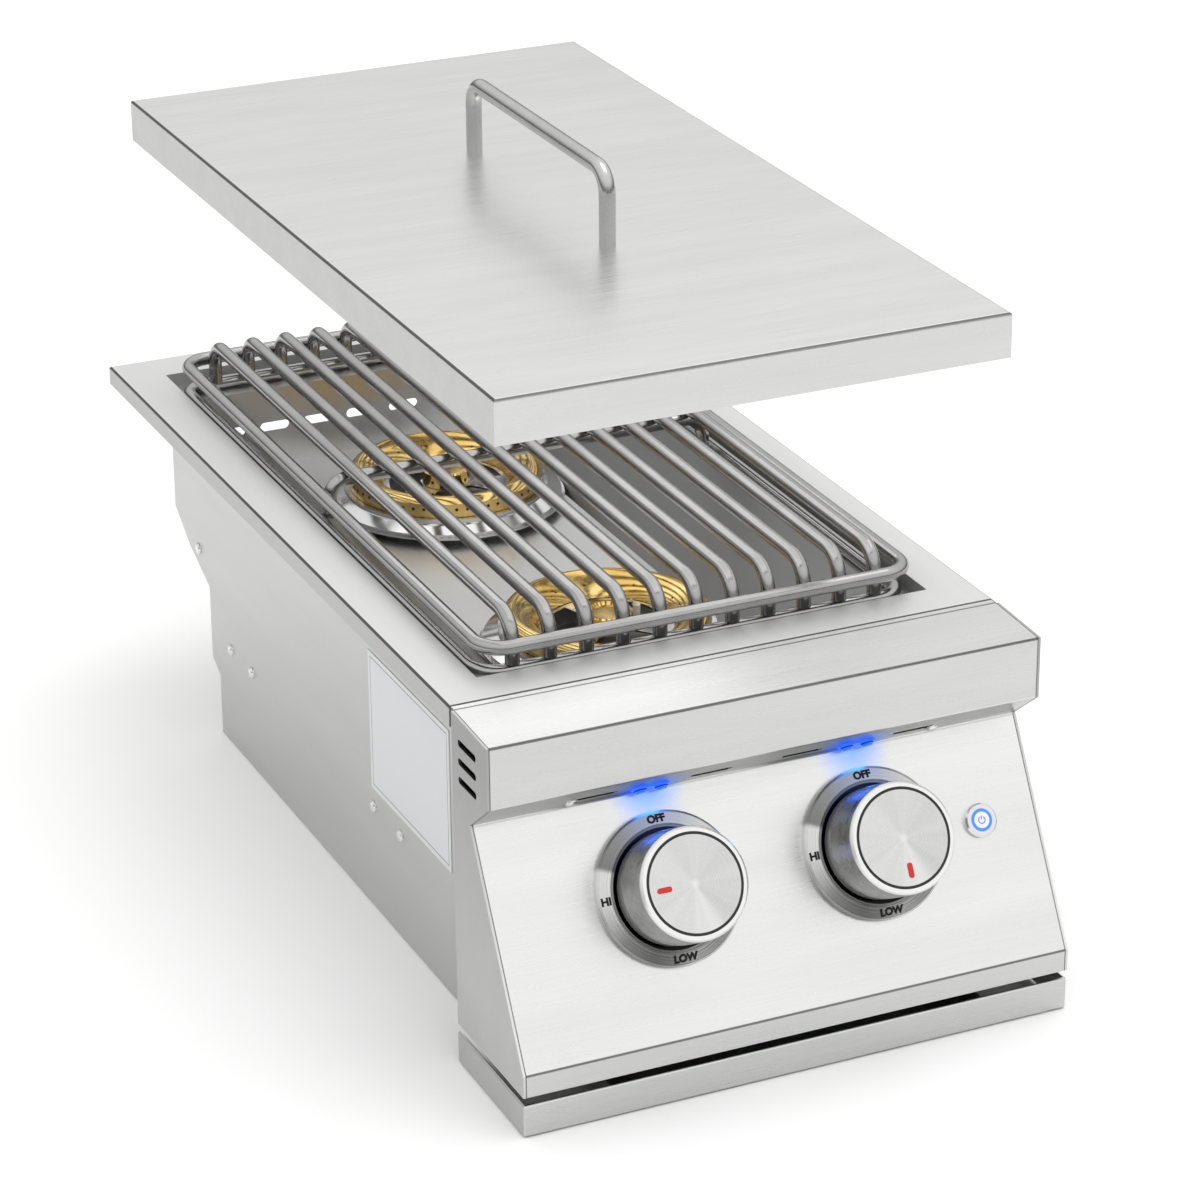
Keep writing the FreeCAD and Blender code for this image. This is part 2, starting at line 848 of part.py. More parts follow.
# Firebox liner

def make_liner():
    """Shelf, walls that slope in to the floor, and the air slots in the upright rear wall."""
    basin = doc.addObject("Part::Wedge", "basin_outer")
    shape_basin(basin, s.metal, floor_under, shelf_under)
    room = doc.addObject("Part::Wedge", "basin_room")
    shape_basin(room, 0, floor_top, shelf_top)
    shelf = middle_box("liner_shelf", 0, s.opening_front - s.metal, shelf_under,
                       s.opening_width + s.metal * 2, s.opening_depth + s.metal * 2, s.metal)
    shell = cut("liner_shell", fuse("liner_solid", shelf, basin), room)
    holes = []
    for number, y in enumerate((s.burner_front_y, burner_rear_y)):
        holes.append(rod("liner_hole_%d" % number, s.floor_hole_radius, s.metal * 3,
                         (0, y, floor_under - s.metal)))
    screw_hole = rod("liner_screw_hole", s.screw_shank_radius, s.metal * 3,
                     (s.floor_screw_x, s.floor_screw_y, floor_under - s.metal))
    return keep(cut("liner_cut", shell, air_slots(), screw_hole, *holes), "firebox_liner")


def shape_basin(wedge, wall, low, high):
    """A basin whose side walls slope from the shelf to the floor; the wedge lies along Y."""
    front = s.shelf_front_y - wall
    rear = s.shelf_rear_y + wall
    top_half = s.shelf_half_width + wall
    low_half = s.floor_half_width + wall
    for name, size in (
        ("Xmin", -low_half), ("Xmax", low_half), ("X2min", -top_half), ("X2max", top_half),
        ("Ymin", low), ("Ymax", high), ("Zmin", -rear), ("Zmax", -front),
        ("Z2min", -rear), ("Z2max", -front),
    ):
        tie(wedge, name, size)
    wedge.Placement = Placement(Vector(), Rotation(Vector(1, 0, 0), 90))


def air_slots():
    """The row of slots through the rear wall."""
    reach = s.metal * 4
    body = new_body("air_slot_tool")
    sketch = sketch_on(body, "XZ", "air_slot_outline", -s.shelf_rear_y - reach)
    count = int(s.air_slot_count.value)
    for number in range(count):
        x = s.air_slot_pitch * (number - (count - 1) / 2)
        slot(sketch, x, s.body_height - s.air_slot_drop, s.air_slot_length, s.air_slot_height)
    pad(body, sketch, reach * 2)
    return body


# Control box

def panel_top(y):
    """The height of the control box's top, which rises a little towards the flange."""
    return s.body_height - s.panel_rear_drop + panel_top_slope * (y + s.seam_gap)


def face_corners(back_y):
    """The control box's outline seen from the side, as Y and Z; its top reaches to back_y."""
    return [
        (back_y, panel_top(back_y)),
        (s.panel_front_y, panel_top(s.panel_front_y)),
        (s.panel_front_y, s.body_height - s.panel_front_drop),
        (s.face_top_y, face_top_z),
        (s.face_bottom_y, s.body_height - s.face_bottom_drop),
        (s.face_bottom_y, panel_bottom),
        (s.panel_back_y, panel_bottom),
    ]


def is_fascia_bend(edge):
    """True for the sheet's bends, which run along X, and not for its back and bottom edges."""
    limits = edge.BoundBox
    along_x = limits.XLength > 1 and limits.YLength < 0.01 and limits.ZLength < 0.01
    is_back = limits.YMax > s.panel_back_y.value - 0.01
    is_bottom = limits.ZMin < panel_bottom.value + 0.01
    return along_x and not is_back and not is_bottom


def is_fascia_open(face):
    normal = normal_of(face)
    return abs(normal.x) > 0.9 or normal.y > 0.99 or normal.z < -0.99


def make_fascia():
    body = plate("fascia_sheet", "YZ", face_corners(-s.seam_gap), panel_inside_half * 2, both_ways=True)
    round_edges(body, s.bend_radius, is_fascia_bend)
    hollow(body, s.panel_metal, is_fascia_open)
    reach = s.panel_metal * 4
    tools = []
    for side in (-1, 1):
        x = knob_x * side
        stem_hole = rod("stem_hole", shaft_hole_radius, reach, (0, 0, 0))
        tools.append(on_face(stem_hole, x, s.knob_down_face, -reach / 2))
        lamp_hole = slotted_block("lamp_hole", s.lamp_length, s.lamp_width, reach)
        tools.append(on_overhang(lamp_hole, x, s.lamp_back, -reach / 2))
        screw_hole = rod("fascia_screw_hole", s.screw_shank_radius, reach, (0, 0, 0))
        tools.append(on_overhang(screw_hole, fascia_screw_x * side, s.lamp_back, -reach / 2))
        for slot_x in (s.inner_slot_x, outer_slot_x):
            thin = slotted_block("overhang_slot", s.overhang_slot_length, s.overhang_slot_width, reach)
            tools.append(on_overhang(thin, slot_x * side, s.overhang_slot_back, -reach / 2))
    button_hole = rod("button_hole", s.button_light_radius, reach, (0, 0, 0))
    tools.append(on_face(button_hole, button_x, s.knob_down_face, -reach / 2))
    return keep(cut("fascia_cut", body, *tools), "control_fascia")


def slotted_block(name, length, width, height):
    """A block with round ends."""
    body = new_body(name)
    sketch = slot(sketch_on(body, "XY", name + "_outline"), 0, 0, length, width)
    pad(body, sketch, height)
    return body


def make_cheek(label, side):
    """The side plate of the control box, with three vent slots."""
    body = plate(label + "_sheet", "YZ", face_corners(s.panel_back_y), s.panel_metal, both_ways=True)
    vents = sketch_on(body, "YZ", label + "_vents")
    for number in range(3):
        z = s.body_height - s.vent_top_drop - s.vent_pitch * number
        slot(vents, s.vent_front_y + s.vent_length / 2, z, s.vent_length, s.vent_height)
    pocket_through(body, vents)
    place(body, (s.panel_width / 2 - s.panel_metal / 2) * side)
    return keep(body, label)


# Bezels and knobs

def make_bezel(label, x):
    """A turned ring with a raised rim round a well; the knob's skirt sits in the well."""
    well = s.bezel_well_radius
    high = s.bezel_height
    bore = shaft_hole_radius
    wall_top = s.bezel_wall_height
    profile = [
        (bore, 0), (s.bezel_radius, 0), (s.bezel_radius, wall_top),
        (s.bezel_radius - s.bezel_bevel, wall_top + s.bezel_bevel * 0.7), (well + s.bezel_lip, high),
        (well, high - s.bezel_lip_drop), (well, s.metal), (bore, s.metal),
    ]
    return keep(on_face(turned(label + "_ring", profile), x, s.knob_down_face), label)


def make_knob(side_name, x):
    """The knob's knurled shell, its inset ring and its face disc."""
    top = s.knob_face_height
    inset_floor = top - s.inset_depth
    roof = inset_floor - s.knob_wall
    boss = s.stem_radius + s.knob_wall
    shell = turned(side_name + "_shell_turned", [
        (s.stem_radius, s.knob_base_height), (boss, s.knob_base_height), (boss, roof),
        (s.knob_radius - s.knob_wall, roof), (s.knob_radius - s.knob_wall, s.knob_base_height),
        (s.knob_radius, s.knob_base_height),
        (s.knob_radius, top - s.knob_chamfer), (s.knob_radius - s.knob_chamfer, top),
        (s.inset_outer_radius, top), (s.inset_outer_radius, inset_floor), (s.stem_radius, inset_floor),
    ])
    keep(on_face(shell, x, s.knob_down_face), side_name + "_knob_shell")
    ring_top = inset_floor + s.inset_depth / 2
    inset = turned(side_name + "_inset_turned", [
        (s.inset_inner_radius, inset_floor), (s.inset_outer_radius, inset_floor),
        (s.inset_outer_radius, ring_top), (s.inset_inner_radius, ring_top),
    ])
    keep(on_face(inset, x, s.knob_down_face), side_name + "_knob_inset")
    face = rod(side_name + "_face_disc", s.inset_inner_radius, s.inset_depth, (0, 0, 0))
    keep(on_face(face, x, s.knob_down_face, inset_floor), side_name + "_knob_face")


def make_pointer(side_name, x, points_down):
    """The bar on the knob's face: it points left at HI and down at LOW."""
    body = new_body(side_name + "_pointer_bar")
    sketch = sketch_on(body, "XY", side_name + "_pointer_outline")
    slot(sketch, -s.pointer_offset, 0, s.pointer_length, s.pointer_width)
    if points_down:
        sketch.AttachmentOffset = Placement(Vector(), Rotation(Vector(0, 0, 1), 90))
    pad(body, sketch, s.pointer_height)
    keep(on_face(body, x, s.knob_down_face, s.knob_face_height), side_name + "_knob_pointer")


def make_stem(side_name, x):
    """The valve's stem, which carries the knob, and the collar that pushes it back out."""
    end = s.knob_face_height - s.inset_depth
    stem = rod(side_name + "_stem_bar", s.stem_radius, end + s.stem_depth, (0, 0, 0))
    keep(on_face(stem, x, s.knob_down_face, -s.stem_depth), side_name + "_valve_stem")
    bore = s.stem_radius + s.stem_running_gap
    outer = bore + s.collar_wall
    top = -s.collar_depth
    foot = top - s.collar_height
    corners = [(bore, foot), (outer, foot), (outer, top), (bore, top)]
    collar = turned(side_name + "_collar_turned", corners)
    keep(on_face(collar, x, s.knob_down_face), side_name + "_push_collar")


# Gas parts

def make_valve(side_name, x):
    """A valve block along the face's normal, its neck under the fascia and its outlet to the rear."""
    side = s.valve_side
    foot = -s.valve_depth - s.valve_length
    block = box(side_name + "_valve_block", (0, 0, 0), (side, side, s.valve_length))
    on_face(block, x - side / 2, s.knob_down_face + side / 2, foot)
    neck_foot = -s.valve_depth - s.metal
    neck = rod(side_name + "_valve_neck", s.valve_neck_radius, -neck_foot - s.panel_metal, (0, 0, 0))
    on_face(neck, x, s.knob_down_face, neck_foot)
    neck_bore = rod(side_name + "_neck_bore", s.valve_neck_radius - s.valve_neck_wall, s.valve_depth,
                    (0, 0, 0))
    on_face(neck_bore, x, s.knob_down_face, -s.valve_depth)
    bore_depth = s.stem_depth + s.push_travel + s.metal
    bore = rod(side_name + "_stem_bore", s.stem_radius + s.stem_running_gap, bore_depth, (0, 0, 0))
    on_face(bore, x, s.knob_down_face, -bore_depth)
    outlet_length = s.mixer_front_y - s.orifice_length / 2 + s.valve_side
    outlet = rod_along_y(side_name + "_valve_outlet", s.valve_outlet_radius, outlet_length,
                         (x, -s.valve_side, valve_z))
    whole = fuse(side_name + "_valve_solid", block, neck, outlet)
    return keep(cut(side_name + "_valve_cut", whole, neck_bore, bore), side_name + "_valve")


def make_orifices():
    """The two gas jets, each from its valve's outlet into the mouth of its mixer tube."""
    jets = []
    start = s.mixer_front_y - s.orifice_length / 2
    for side in (-1, 1):
        end = (knob_x * side, start, valve_z)
        jet = rod_along_y("orifice_bar", s.orifice_radius, s.orifice_length, end)
        bore = rod_along_y("orifice_bore", s.orifice_bore_radius, s.orifice_length, end)
        jets.append(cut("orifice_cut", jet, bore))
    return keep(gather("orifice_pair", *jets), "orifices")


def make_manifold():
    """The tube that feeds both valves and runs back to the inlet, with a stub up to each valve."""
    end = s.rear_lower_y - s.fitting_inner_length
    corners = [(s.manifold_left_x, s.manifold_y), (s.supply_x, s.manifold_y), (s.supply_x, end)]
    tube = pipe("manifold_tube", s.manifold_radius, ("XY", manifold_z, corners, s.manifold_bend, False),
                ("YZ", s.manifold_left_x, (s.manifold_y, manifold_z)))
    stubs = []
    blocks = []
    for side in (-1, 1):
        x = knob_x * side
        stubs.append(rod("manifold_stub", s.valve_stub_radius, s.valve_side, (x, s.manifold_y, manifold_z)))
        block = box("stub_trim", (0, 0, 0), (s.valve_side, s.valve_side, s.valve_length))
        blocks.append(on_face(block, x - s.valve_side / 2, s.knob_down_face + s.valve_side / 2,
                              -s.valve_depth - s.valve_length))
    return keep(cut("manifold_cut", fuse("manifold_solid", tube, *stubs), *blocks), "gas_manifold")


def make_inlet():
    """The threaded inlet at the rear: the supply tube ends inside, the thread stands outside."""
    outside = s.fitting_flange_length + s.inlet_length
    start = s.rear_lower_y - s.fitting_inner_length
    core = rod_along_y("inlet_core", s.inlet_radius, s.fitting_inner_length + outside,
                       (s.supply_x, start, manifold_z))
    rim = rod_along_y("inlet_rim", s.fitting_flange_radius, s.fitting_flange_length,
                      (s.supply_x, s.rear_lower_y, manifold_z))
    bore = rod_along_y("inlet_bore", s.inlet_bore_radius, s.fitting_inner_length + outside,
                       (s.supply_x, start, manifold_z))
    return keep(cut("inlet_cut", fuse("inlet_solid", core, rim), bore), "inlet_fitting")


def make_mixer(label, side, burner_y):
    """The tube that mixes gas and air, from its jet to its burner's arm."""
    length = burner_y - s.arm_width / 2 - s.mixer_front_y
    x = knob_x * side
    tube = rod_along_y(label + "_bar", s.mixer_radius, length, (x, s.mixer_front_y, valve_z))
    bore = rod_along_y(label + "_bore", s.mixer_radius - s.mixer_wall, length, (x, s.mixer_front_y, valve_z))
    return keep(cut(label + "_cut", tube, bore), label)


# Burners

SPOKE_ANGLES = (90, 210, 330)
WINDOW_ANGLES = (30, 150, 270)


def spoke_corners(degrees, reach, half_width, y):
    """A straight bar from the middle of the burner outwards, in plan."""
    across = math.cos(math.radians(degrees))
    along = math.sin(math.radians(degrees))
    return [
        (half_width * along, y - half_width * across),
        (reach * across + half_width * along, y + reach * along - half_width * across),
        (reach * across - half_width * along, y + reach * along + half_width * across),
        (-half_width * along, y + half_width * across),
    ]


def make_burner_base(label, side, y):
    """The cast base: hub, three spokes, the channel under the ring and the arm to the mixer tube."""
    wall = s.casting_wall
    top = floor_top + s.channel_height
    arm_low = valve_z - s.arm_width / 2
    outer = s.channel_outer_radius
    inner = s.channel_inner_radius
    channel = turned(label + "_channel", [
        (inner, floor_top), (outer, floor_top), (outer, top), (outer - wall, top),
        (outer - wall, floor_top + wall), (inner + wall, floor_top + wall), (inner + wall, top),
        (inner, top),
    ])
    place(channel, 0, y)
    hub = rod(label + "_hub", s.hub_radius, top - arm_low, (0, y, arm_low))
    spokes = []
    for degrees in SPOKE_ANGLES:
        bar = new_body(label + "_spoke")
        sketch = sketch_on(bar, "XY", label + "_spoke_outline", floor_top)
        outline(sketch, spoke_corners(degrees, inner + wall / 2, s.spoke_width / 2, y))
        pad(bar, sketch, s.channel_height * 0.6)
        spokes.append(bar)
    arm_back = s.hub_radius + wall
    arm_x = -s.arm_reach if side < 0 else -arm_back
    arm = box(label + "_arm", (arm_x, y - s.arm_width / 2, arm_low),
              (s.arm_reach + arm_back, s.arm_width, s.arm_width))
    tools = burner_base_rooms(label, side, y, top, arm_low)
    whole = fuse(label + "_solid", channel, hub, arm, *spokes)
    return keep(cut(label + "_cut", whole, *tools), label)


def burner_base_rooms(label, side, y, top, arm_low):
    """The passages inside the base: arm, hub, spokes and the mouth for the mixer tube."""
    wall = s.casting_wall
    room = s.arm_width - wall * 2
    room_length = s.arm_reach + s.hub_radius - wall
    room_x = -s.arm_reach + wall if side < 0 else -s.hub_radius
    arm_room = box(label + "_arm_room", (room_x, y - room / 2, arm_low + wall), (room_length, room, room))
    hub_room = rod(label + "_hub_room", s.hub_radius - wall, top - arm_low - wall, (0, y, arm_low + wall))
    mouth = rod_along_y(label + "_mouth", s.mixer_radius - s.mixer_wall, s.arm_width / 2,
                        (knob_x * side, y - s.arm_width / 2, valve_z))
    passages = []
    passage_z = floor_top + wall + s.spoke_width / 4 + s.seam_gap
    for degrees in SPOKE_ANGLES:
        across = math.cos(math.radians(degrees))
        along = math.sin(math.radians(degrees))
        passages.append(rod(label + "_passage", s.spoke_width / 4, s.channel_inner_radius + wall * 1.5,
                            (0, y, passage_z), axis=(-along, across, 0), angle=90))
    return [arm_room, hub_room, mouth] + passages


def window_corners(degrees, spread):
    """One window in the bowl's floor: a sector between the hub and the ring."""
    near = s.hub_radius + s.window_hub_gap
    far = s.ring_inner_radius - s.window_ring_gap
    corners = []
    for radius, turns in ((near, (-1, 0, 1)), (far, (1, 0.5, 0, -0.5, -1))):
        for turn in turns:
            angle = math.radians(degrees + spread * turn)
            corners.append((radius * math.cos(angle), radius * math.sin(angle)))
    return corners


def make_bowl(label, y):
    """The polished drip bowl: a floor between base and ring, a step, and a dished skirt."""
    under = s.channel_height
    top = under + s.bowl_metal
    wall = s.bowl_skirt_wall
    hub = s.hub_radius - s.casting_wall
    step = s.ring_radius + s.bowl_step
    rim = s.bowl_radius
    rim_inner = rim - s.bowl_rim_width
    low = top - s.bowl_depth
    body = turned(label + "_sheet", [
        (hub, under), (step + wall, under), (step + wall, under - s.bowl_collar_drop),
        (rim_inner - wall, low + wall), (rim_inner - wall, low - wall), (rim, low - wall), (rim, low),
        (rim_inner, low), (rim_inner, low + wall * 2),
        (step + wall * 2, under - s.bowl_collar_drop + wall * 1.4), (step + wall * 2, top), (hub, top),
    ])
    windows = sketch_on(body, "XY", label + "_windows")
    for degrees in WINDOW_ANGLES:
        outline(windows, window_corners(degrees, s.window_spread.value))
    pocket_through(body, windows)
    holes = sketch_on(body, "XY", label + "_gas_holes")
    middle = (s.channel_inner_radius + s.channel_outer_radius) / 2
    for degrees in range(0, 360, 45):
        angle = math.radians(degrees)
        circle(holes, middle * math.cos(angle), middle * math.sin(angle), s.gas_hole_radius)
    pocket_through(body, holes)
    place(body, 0, y, floor_top)
    return keep(body, label)


def radial_drills(name, radius, count, height, start, length):
    """A circle of drills that point away from the axis, from start outwards."""
    drills = []
    for number in range(int(count.value)):
        angle = 2 * math.pi * number / int(count.value)
        across = math.cos(angle)
        along = math.sin(angle)
        drills.append(rod(name, radius, length, (start * across, start * along, height),
                          axis=(-along, across, 0), angle=90))
    return gather(name + "_circle", *drills)


def make_ring(label, y):
    """The brass ring: an upright outer wall with ports, a rounded crest and a sloped inner wall."""
    outer = s.ring_radius
    inner = s.ring_inner_radius
    crest = s.ring_crest_radius
    high = s.ring_height
    wall = s.ring_wall
    bevel = s.ring_bevel
    half_drop = s.ring_slope_drop / 4
    slope_x = crest - s.ring_slope_run
    foot_x = inner + s.ring_foot_run
    body = turned(label + "_turned", [
        (outer - wall, 0), (outer, 0), (outer, high - s.ring_shoulder_drop),
        (outer - bevel, high - s.ring_slope_drop), (crest + bevel, high - half_drop),
        (crest, high), (crest - bevel, high - half_drop), (slope_x, high - s.ring_slope_drop),
        (foot_x, s.ring_foot_rise), (inner, 0), (inner + wall, 0),
        (foot_x + wall, s.ring_foot_rise - wall / 2), (slope_x, high - s.ring_slope_drop - wall * 1.3),
        (crest, high - wall), (outer - wall, high - s.ring_shoulder_drop - wall / 2),
    ])
    drill_start = outer - wall - s.metal
    ports = radial_drills(label + "_port", s.port_radius, s.port_count, high * 0.42, drill_start, wall * 2)
    inner_ports = radial_drills(label + "_inner_port", s.inner_port_radius, s.inner_port_count,
                                high * 0.55, inner, crest - inner - wall)
    drilled = cut(label + "_cut", body, gather(label + "_drills", ports, inner_ports))
    return keep(place(drilled, 0, y, head_bottom), label)


def make_cap(label, y):
    """The small brass cap over the hub, a cup with ports in its wall and a dished top."""
    outer = s.cap_radius
    high = s.cap_height
    wall = s.ring_wall
    rim_x = outer - s.cap_rim_width
    dish = high - s.cap_dish
    body = turned(label + "_turned", [
        (outer - wall, 0), (outer, 0), (outer, high - s.cap_bevel), (outer - s.cap_bevel, high),
        (rim_x, high), (rim_x - s.cap_dish, dish), (0, dish), (0, dish - wall), (outer - wall, dish - wall),
    ])
    ports = radial_drills(label + "_port", s.port_radius, s.cap_port_count, high * 0.4,
                          outer - wall - s.metal, wall * 2)
    return keep(place(cut(label + "_cut", body, ports), 0, y, head_bottom), label)


def make_electrodes():
    """The igniter electrode beside each cap: a ceramic rod on a bracket, with a wire tip."""
    electrodes = []
    angle = math.radians(s.electrode_angle.value)
    x = s.electrode_offset * math.cos(angle)
    off = s.electrode_offset * math.sin(angle)
    low = floor_top - s.spoke_width
    wide = s.bracket_width
    thick = s.bracket_metal
    tip_z = low + s.electrode_height - s.electrode_tip_radius
    for y in (s.burner_front_y, burner_rear_y):
        ceramic = rod("ceramic", s.electrode_radius, s.electrode_height, (x, y + off, low))
        bracket = box("bracket", (0, y - wide / 2, low), (x, wide, thick))
        foot = box("bracket_foot", (x - wide / 2, y - wide / 2, low), (wide, off + wide, thick))
        tip = rod("tip", s.electrode_tip_radius, s.electrode_tip_length, (x, y + off, tip_z),
                  axis=(0, 1, 0), angle=s.electrode_tip_turn)
        trim = rod("bracket_trim", s.hub_radius, thick * 4, (0, y, low - thick))
        electrodes.append(cut("electrode", fuse("electrode_solid", ceramic, bracket, foot, tip), trim))
    return keep(gather("electrode_pair", *electrodes), "igniter_electrodes")


# Ignition and lamps

def make_module():
    width = s.module_width
    low = [module_x - width / 2, bulkhead_y - s.module_depth, s.module_z]
    return keep(box("module_box", low, (width, s.module_depth, s.module_height)), "igniter_module")


def lamp_dome(side):
    """One of the two small domes of a lamp's lens."""
    radius = s.lamp_dome_radius
    bevel = s.lamp_dome_bevel
    top = s.panel_metal + s.lamp_dome_rise
    body = turned("lens_dome", [(0, 0), (radius, 0), (radius, top - bevel), (radius - bevel, top), (0, top)])
    return place(body, s.lamp_dome_offset * side)


def make_lamps():
    """A lens with two domes in each cut-out of the overhang, and the housing behind it."""
    housings = []
    lenses = []
    wall = s.lamp_housing_wall
    inside = s.panel_metal
    for side in (-1, 1):
        x = knob_x * side
        plate_body = slotted_block("lens_plate", s.lamp_length, s.lamp_width, inside + s.lamp_rise)
        lens = fuse("lens", plate_body, lamp_dome(-1), lamp_dome(1))
        lenses.append(on_overhang(lens, x, s.lamp_back, -inside))
        height = s.lamp_housing_height
        housing = slotted_block("housing", s.lamp_length + wall * 2, s.lamp_width + wall, height)
        housings.append(on_overhang(housing, x, s.lamp_back - wall / 2, -inside - height))
    keep(gather("lens_pair", *lenses), "lamp_lenses")
    keep(gather("housing_pair", *housings), "lamp_housings")


def make_button():
    """The ignition button: a ring on the face, a light ring, the moving cap and the switch body."""
    down = s.knob_down_face
    inside = s.panel_metal
    light = s.button_light_radius
    high = s.button_ring_height
    ring = turned("button_ring_turned", [
        (light, 0), (s.button_ring_radius, 0), (s.button_ring_radius, high - 1),
        (s.button_ring_radius - 1, high), (light, high),
    ])
    keep(on_face(ring, button_x, down), "button_ring")
    bore = s.button_cap_radius + s.head_gap
    corners = [(bore, -inside), (light, -inside), (light, high), (bore, high)]
    light_ring = turned("button_light_turned", corners)
    keep(on_face(light_ring, button_x, down), "button_light")
    cap_length = s.button_cap_height + inside
    cap = rod("button_cap_bar", s.button_cap_radius, cap_length, (0, 0, 0))
    keep(on_face(cap, button_x, down, -inside), "button_cap")
    recess = inside + s.button_travel + s.seam_gap
    switch = turned("button_switch_turned", [
        (0, -inside - s.switch_length), (s.switch_radius, -inside - s.switch_length),
        (s.switch_radius, -inside), (bore, -inside), (bore, -recess), (0, -recess),
    ])
    keep(on_face(switch, button_x, down), "button_switch")


# Screws and plate

def screw(name):
    """A screw with a low domed head; its head sits on z = 0."""
    head = s.screw_head_radius
    high = s.screw_head_height
    return turned(name, [
        (0, -s.screw_length), (s.screw_shank_radius, -s.screw_length), (s.screw_shank_radius, 0), (head, 0),
        (head - 0.2, high * 0.4), (head * 0.7, high * 0.85), (head * 0.3, high), (0, high),
    ])


def make_screws():
    """Every screw that holds the sheet metal."""
    screws = []
    for side in (-1, 1):
        for y, drop in side_screw_places():
            item = screw("side_screw")
            screws.append(place(item, side_x * side, y, s.body_height - drop, (0, 1, 0), 90 * side))
        screws.append(on_overhang(screw("fascia_screw"), fascia_screw_x * side, s.lamp_back))
    screws.append(place(screw("floor_screw"), s.floor_screw_x, s.floor_screw_y, floor_top))
    return keep(gather("screw_group", *screws), "housing_screws")


def make_plate():
    """The rating plate on the left side, left blank."""
    low = [-side_x - s.plate_thickness, s.plate_front_y, s.body_height - s.plate_top_drop - s.plate_height]
    return keep(box("plate_sheet", low, (s.plate_thickness, s.plate_length, s.plate_height)), "rating_plate")


# Drip tray

def tray_front_block():
    """The outside of the front strip, with its front corners and its top edges rounded."""
    half = s.panel_width / 2
    front = s.face_bottom_y
    corners = [(-half, s.panel_back_y), (-half, front), (half, front), (half, s.panel_back_y)]
    body = new_body("tray_front_outer")
    pad(body, outline(sketch_on(body, "XY", "tray_front_outline"), corners), s.tray_front_height)
    round_edges(body, s.tray_front_radius, is_tray_front_bend)
    return place(body, 0, 0, s.tray_ground_gap)


def is_tray_front_bend(edge):
    limits = edge.BoundBox
    is_corner = limits.ZLength > 1 and limits.YMax < s.face_bottom_y.value + 0.01
    is_rear = limits.YMin > s.panel_back_y.value - 0.01
    is_top = limits.ZMin > s.tray_front_height.value - 0.01
    return is_corner or (is_top and not is_rear)


def make_tray():
    """The pan that slides under the burner, and the strip that closes its front."""
    metal = s.metal
    front = s.face_bottom_y + s.panel_metal
    depth = s.panel_back_y - s.face_bottom_y
    inner = middle_box("tray_front_inner", 0, front, s.tray_ground_gap, panel_inside_half * 2, depth,
                       s.tray_front_height)
    keep(cut("tray_front_cut", tray_front_block(), inner), "drip_tray_front")
    pan = middle_box("tray_outer", 0, front, s.tray_floor_rise, s.tray_width, s.tray_depth, s.tray_wall)
    room = middle_box("tray_inner", 0, front + metal, s.tray_floor_rise + metal, s.tray_width - metal * 2,
                      s.tray_depth - metal * 2, s.tray_wall)
    keep(cut("tray_cut", pan, room), "drip_tray")


def make_rails():
    """Two angle rails on the base pan that carry and guide the drip tray."""
    rails = []
    foot_top = s.tray_floor_rise - s.tray_running_gap
    for side in (-1, 1):
        inner = s.tray_width / 2 + s.tray_side_gap
        outer = inner + s.metal
        corners = [(inner - s.rail_foot, s.metal), (outer, s.metal), (outer, s.rail_height),
                   (inner, s.rail_height), (inner, foot_top), (inner - s.rail_foot, foot_top)]
        corners = [(x * side, z) for x, z in corners]
        body = new_body("rail")
        sketch = outline(sketch_on(body, "XZ", "rail_outline"), corners)
        pad(body, sketch, s.rail_length, backwards=True)
        rails.append(body)
    return keep(gather("rail_pair", *rails), "tray_rails")


# Cooking grate

def loop_path(z, front_y):
    half = s.loop_half_width
    corners = [(-half, front_y), (half, front_y), (half, loop_rear_y), (-half, loop_rear_y)]
    path = ("XY", z, corners, s.loop_corner, True)
    section = ("YZ", -half + s.loop_corner, (front_y, z))
    return path, section


def make_grate():
    """Two loops, the bent rods between them and the rod that crosses under them."""
    path, section = loop_path(grate_loop_z, loop_front_y)
    keep(pipe("top_loop_bar", s.rod_radius, path, section), "grate_top_loop")
    path, section = loop_path(grate_low_z, s.legs_front_y)
    keep(pipe("lower_loop_bar", s.rod_radius, path, section), "grate_lower_loop")
    make_rods()
    half = s.loop_half_width - s.rod_radius * 2
    z = rods_z - s.rod_radius * 2
    corners = [(-half, grate_low_z), (-half, z), (half, z), (half, grate_low_z)]
    keep(pipe("cross_rod_bar", s.rod_radius, ("XZ", -s.cross_rod_y, corners, s.cross_rod_bend, False),
              ("XY", grate_low_z, (-half, s.cross_rod_y))), "grate_cross_rod")


def make_rods():
    """The row of rods: up at the front, along the top and down at the rear."""
    low = grate_low_z + s.rod_radius
    first_x = -s.rod_pitch * (s.rod_count - 1) / 2
    corners = [(s.legs_front_y, low), (s.legs_front_y, rods_z), (s.legs_rear_y, rods_z),
               (s.legs_rear_y, low)]
    body = pipe("rods", s.rod_radius, ("YZ", first_x, corners, s.rod_bend, False),
                ("XY", low, (first_x, s.legs_front_y)))
    body.AllowCompound = True
    bar = body.Tip
    row = body.newObject("PartDesign::LinearPattern", "rod_row")
    row.Originals = [bar]
    row.Direction = (bar.Profile[0], ["H_Axis"])
    tie(row, "Length", s.rod_pitch * (s.rod_count - 1))
    tie(row, "Occurrences", s.rod_count)
    body.Tip = row
    return keep(body, "grate_rods")


# Lid

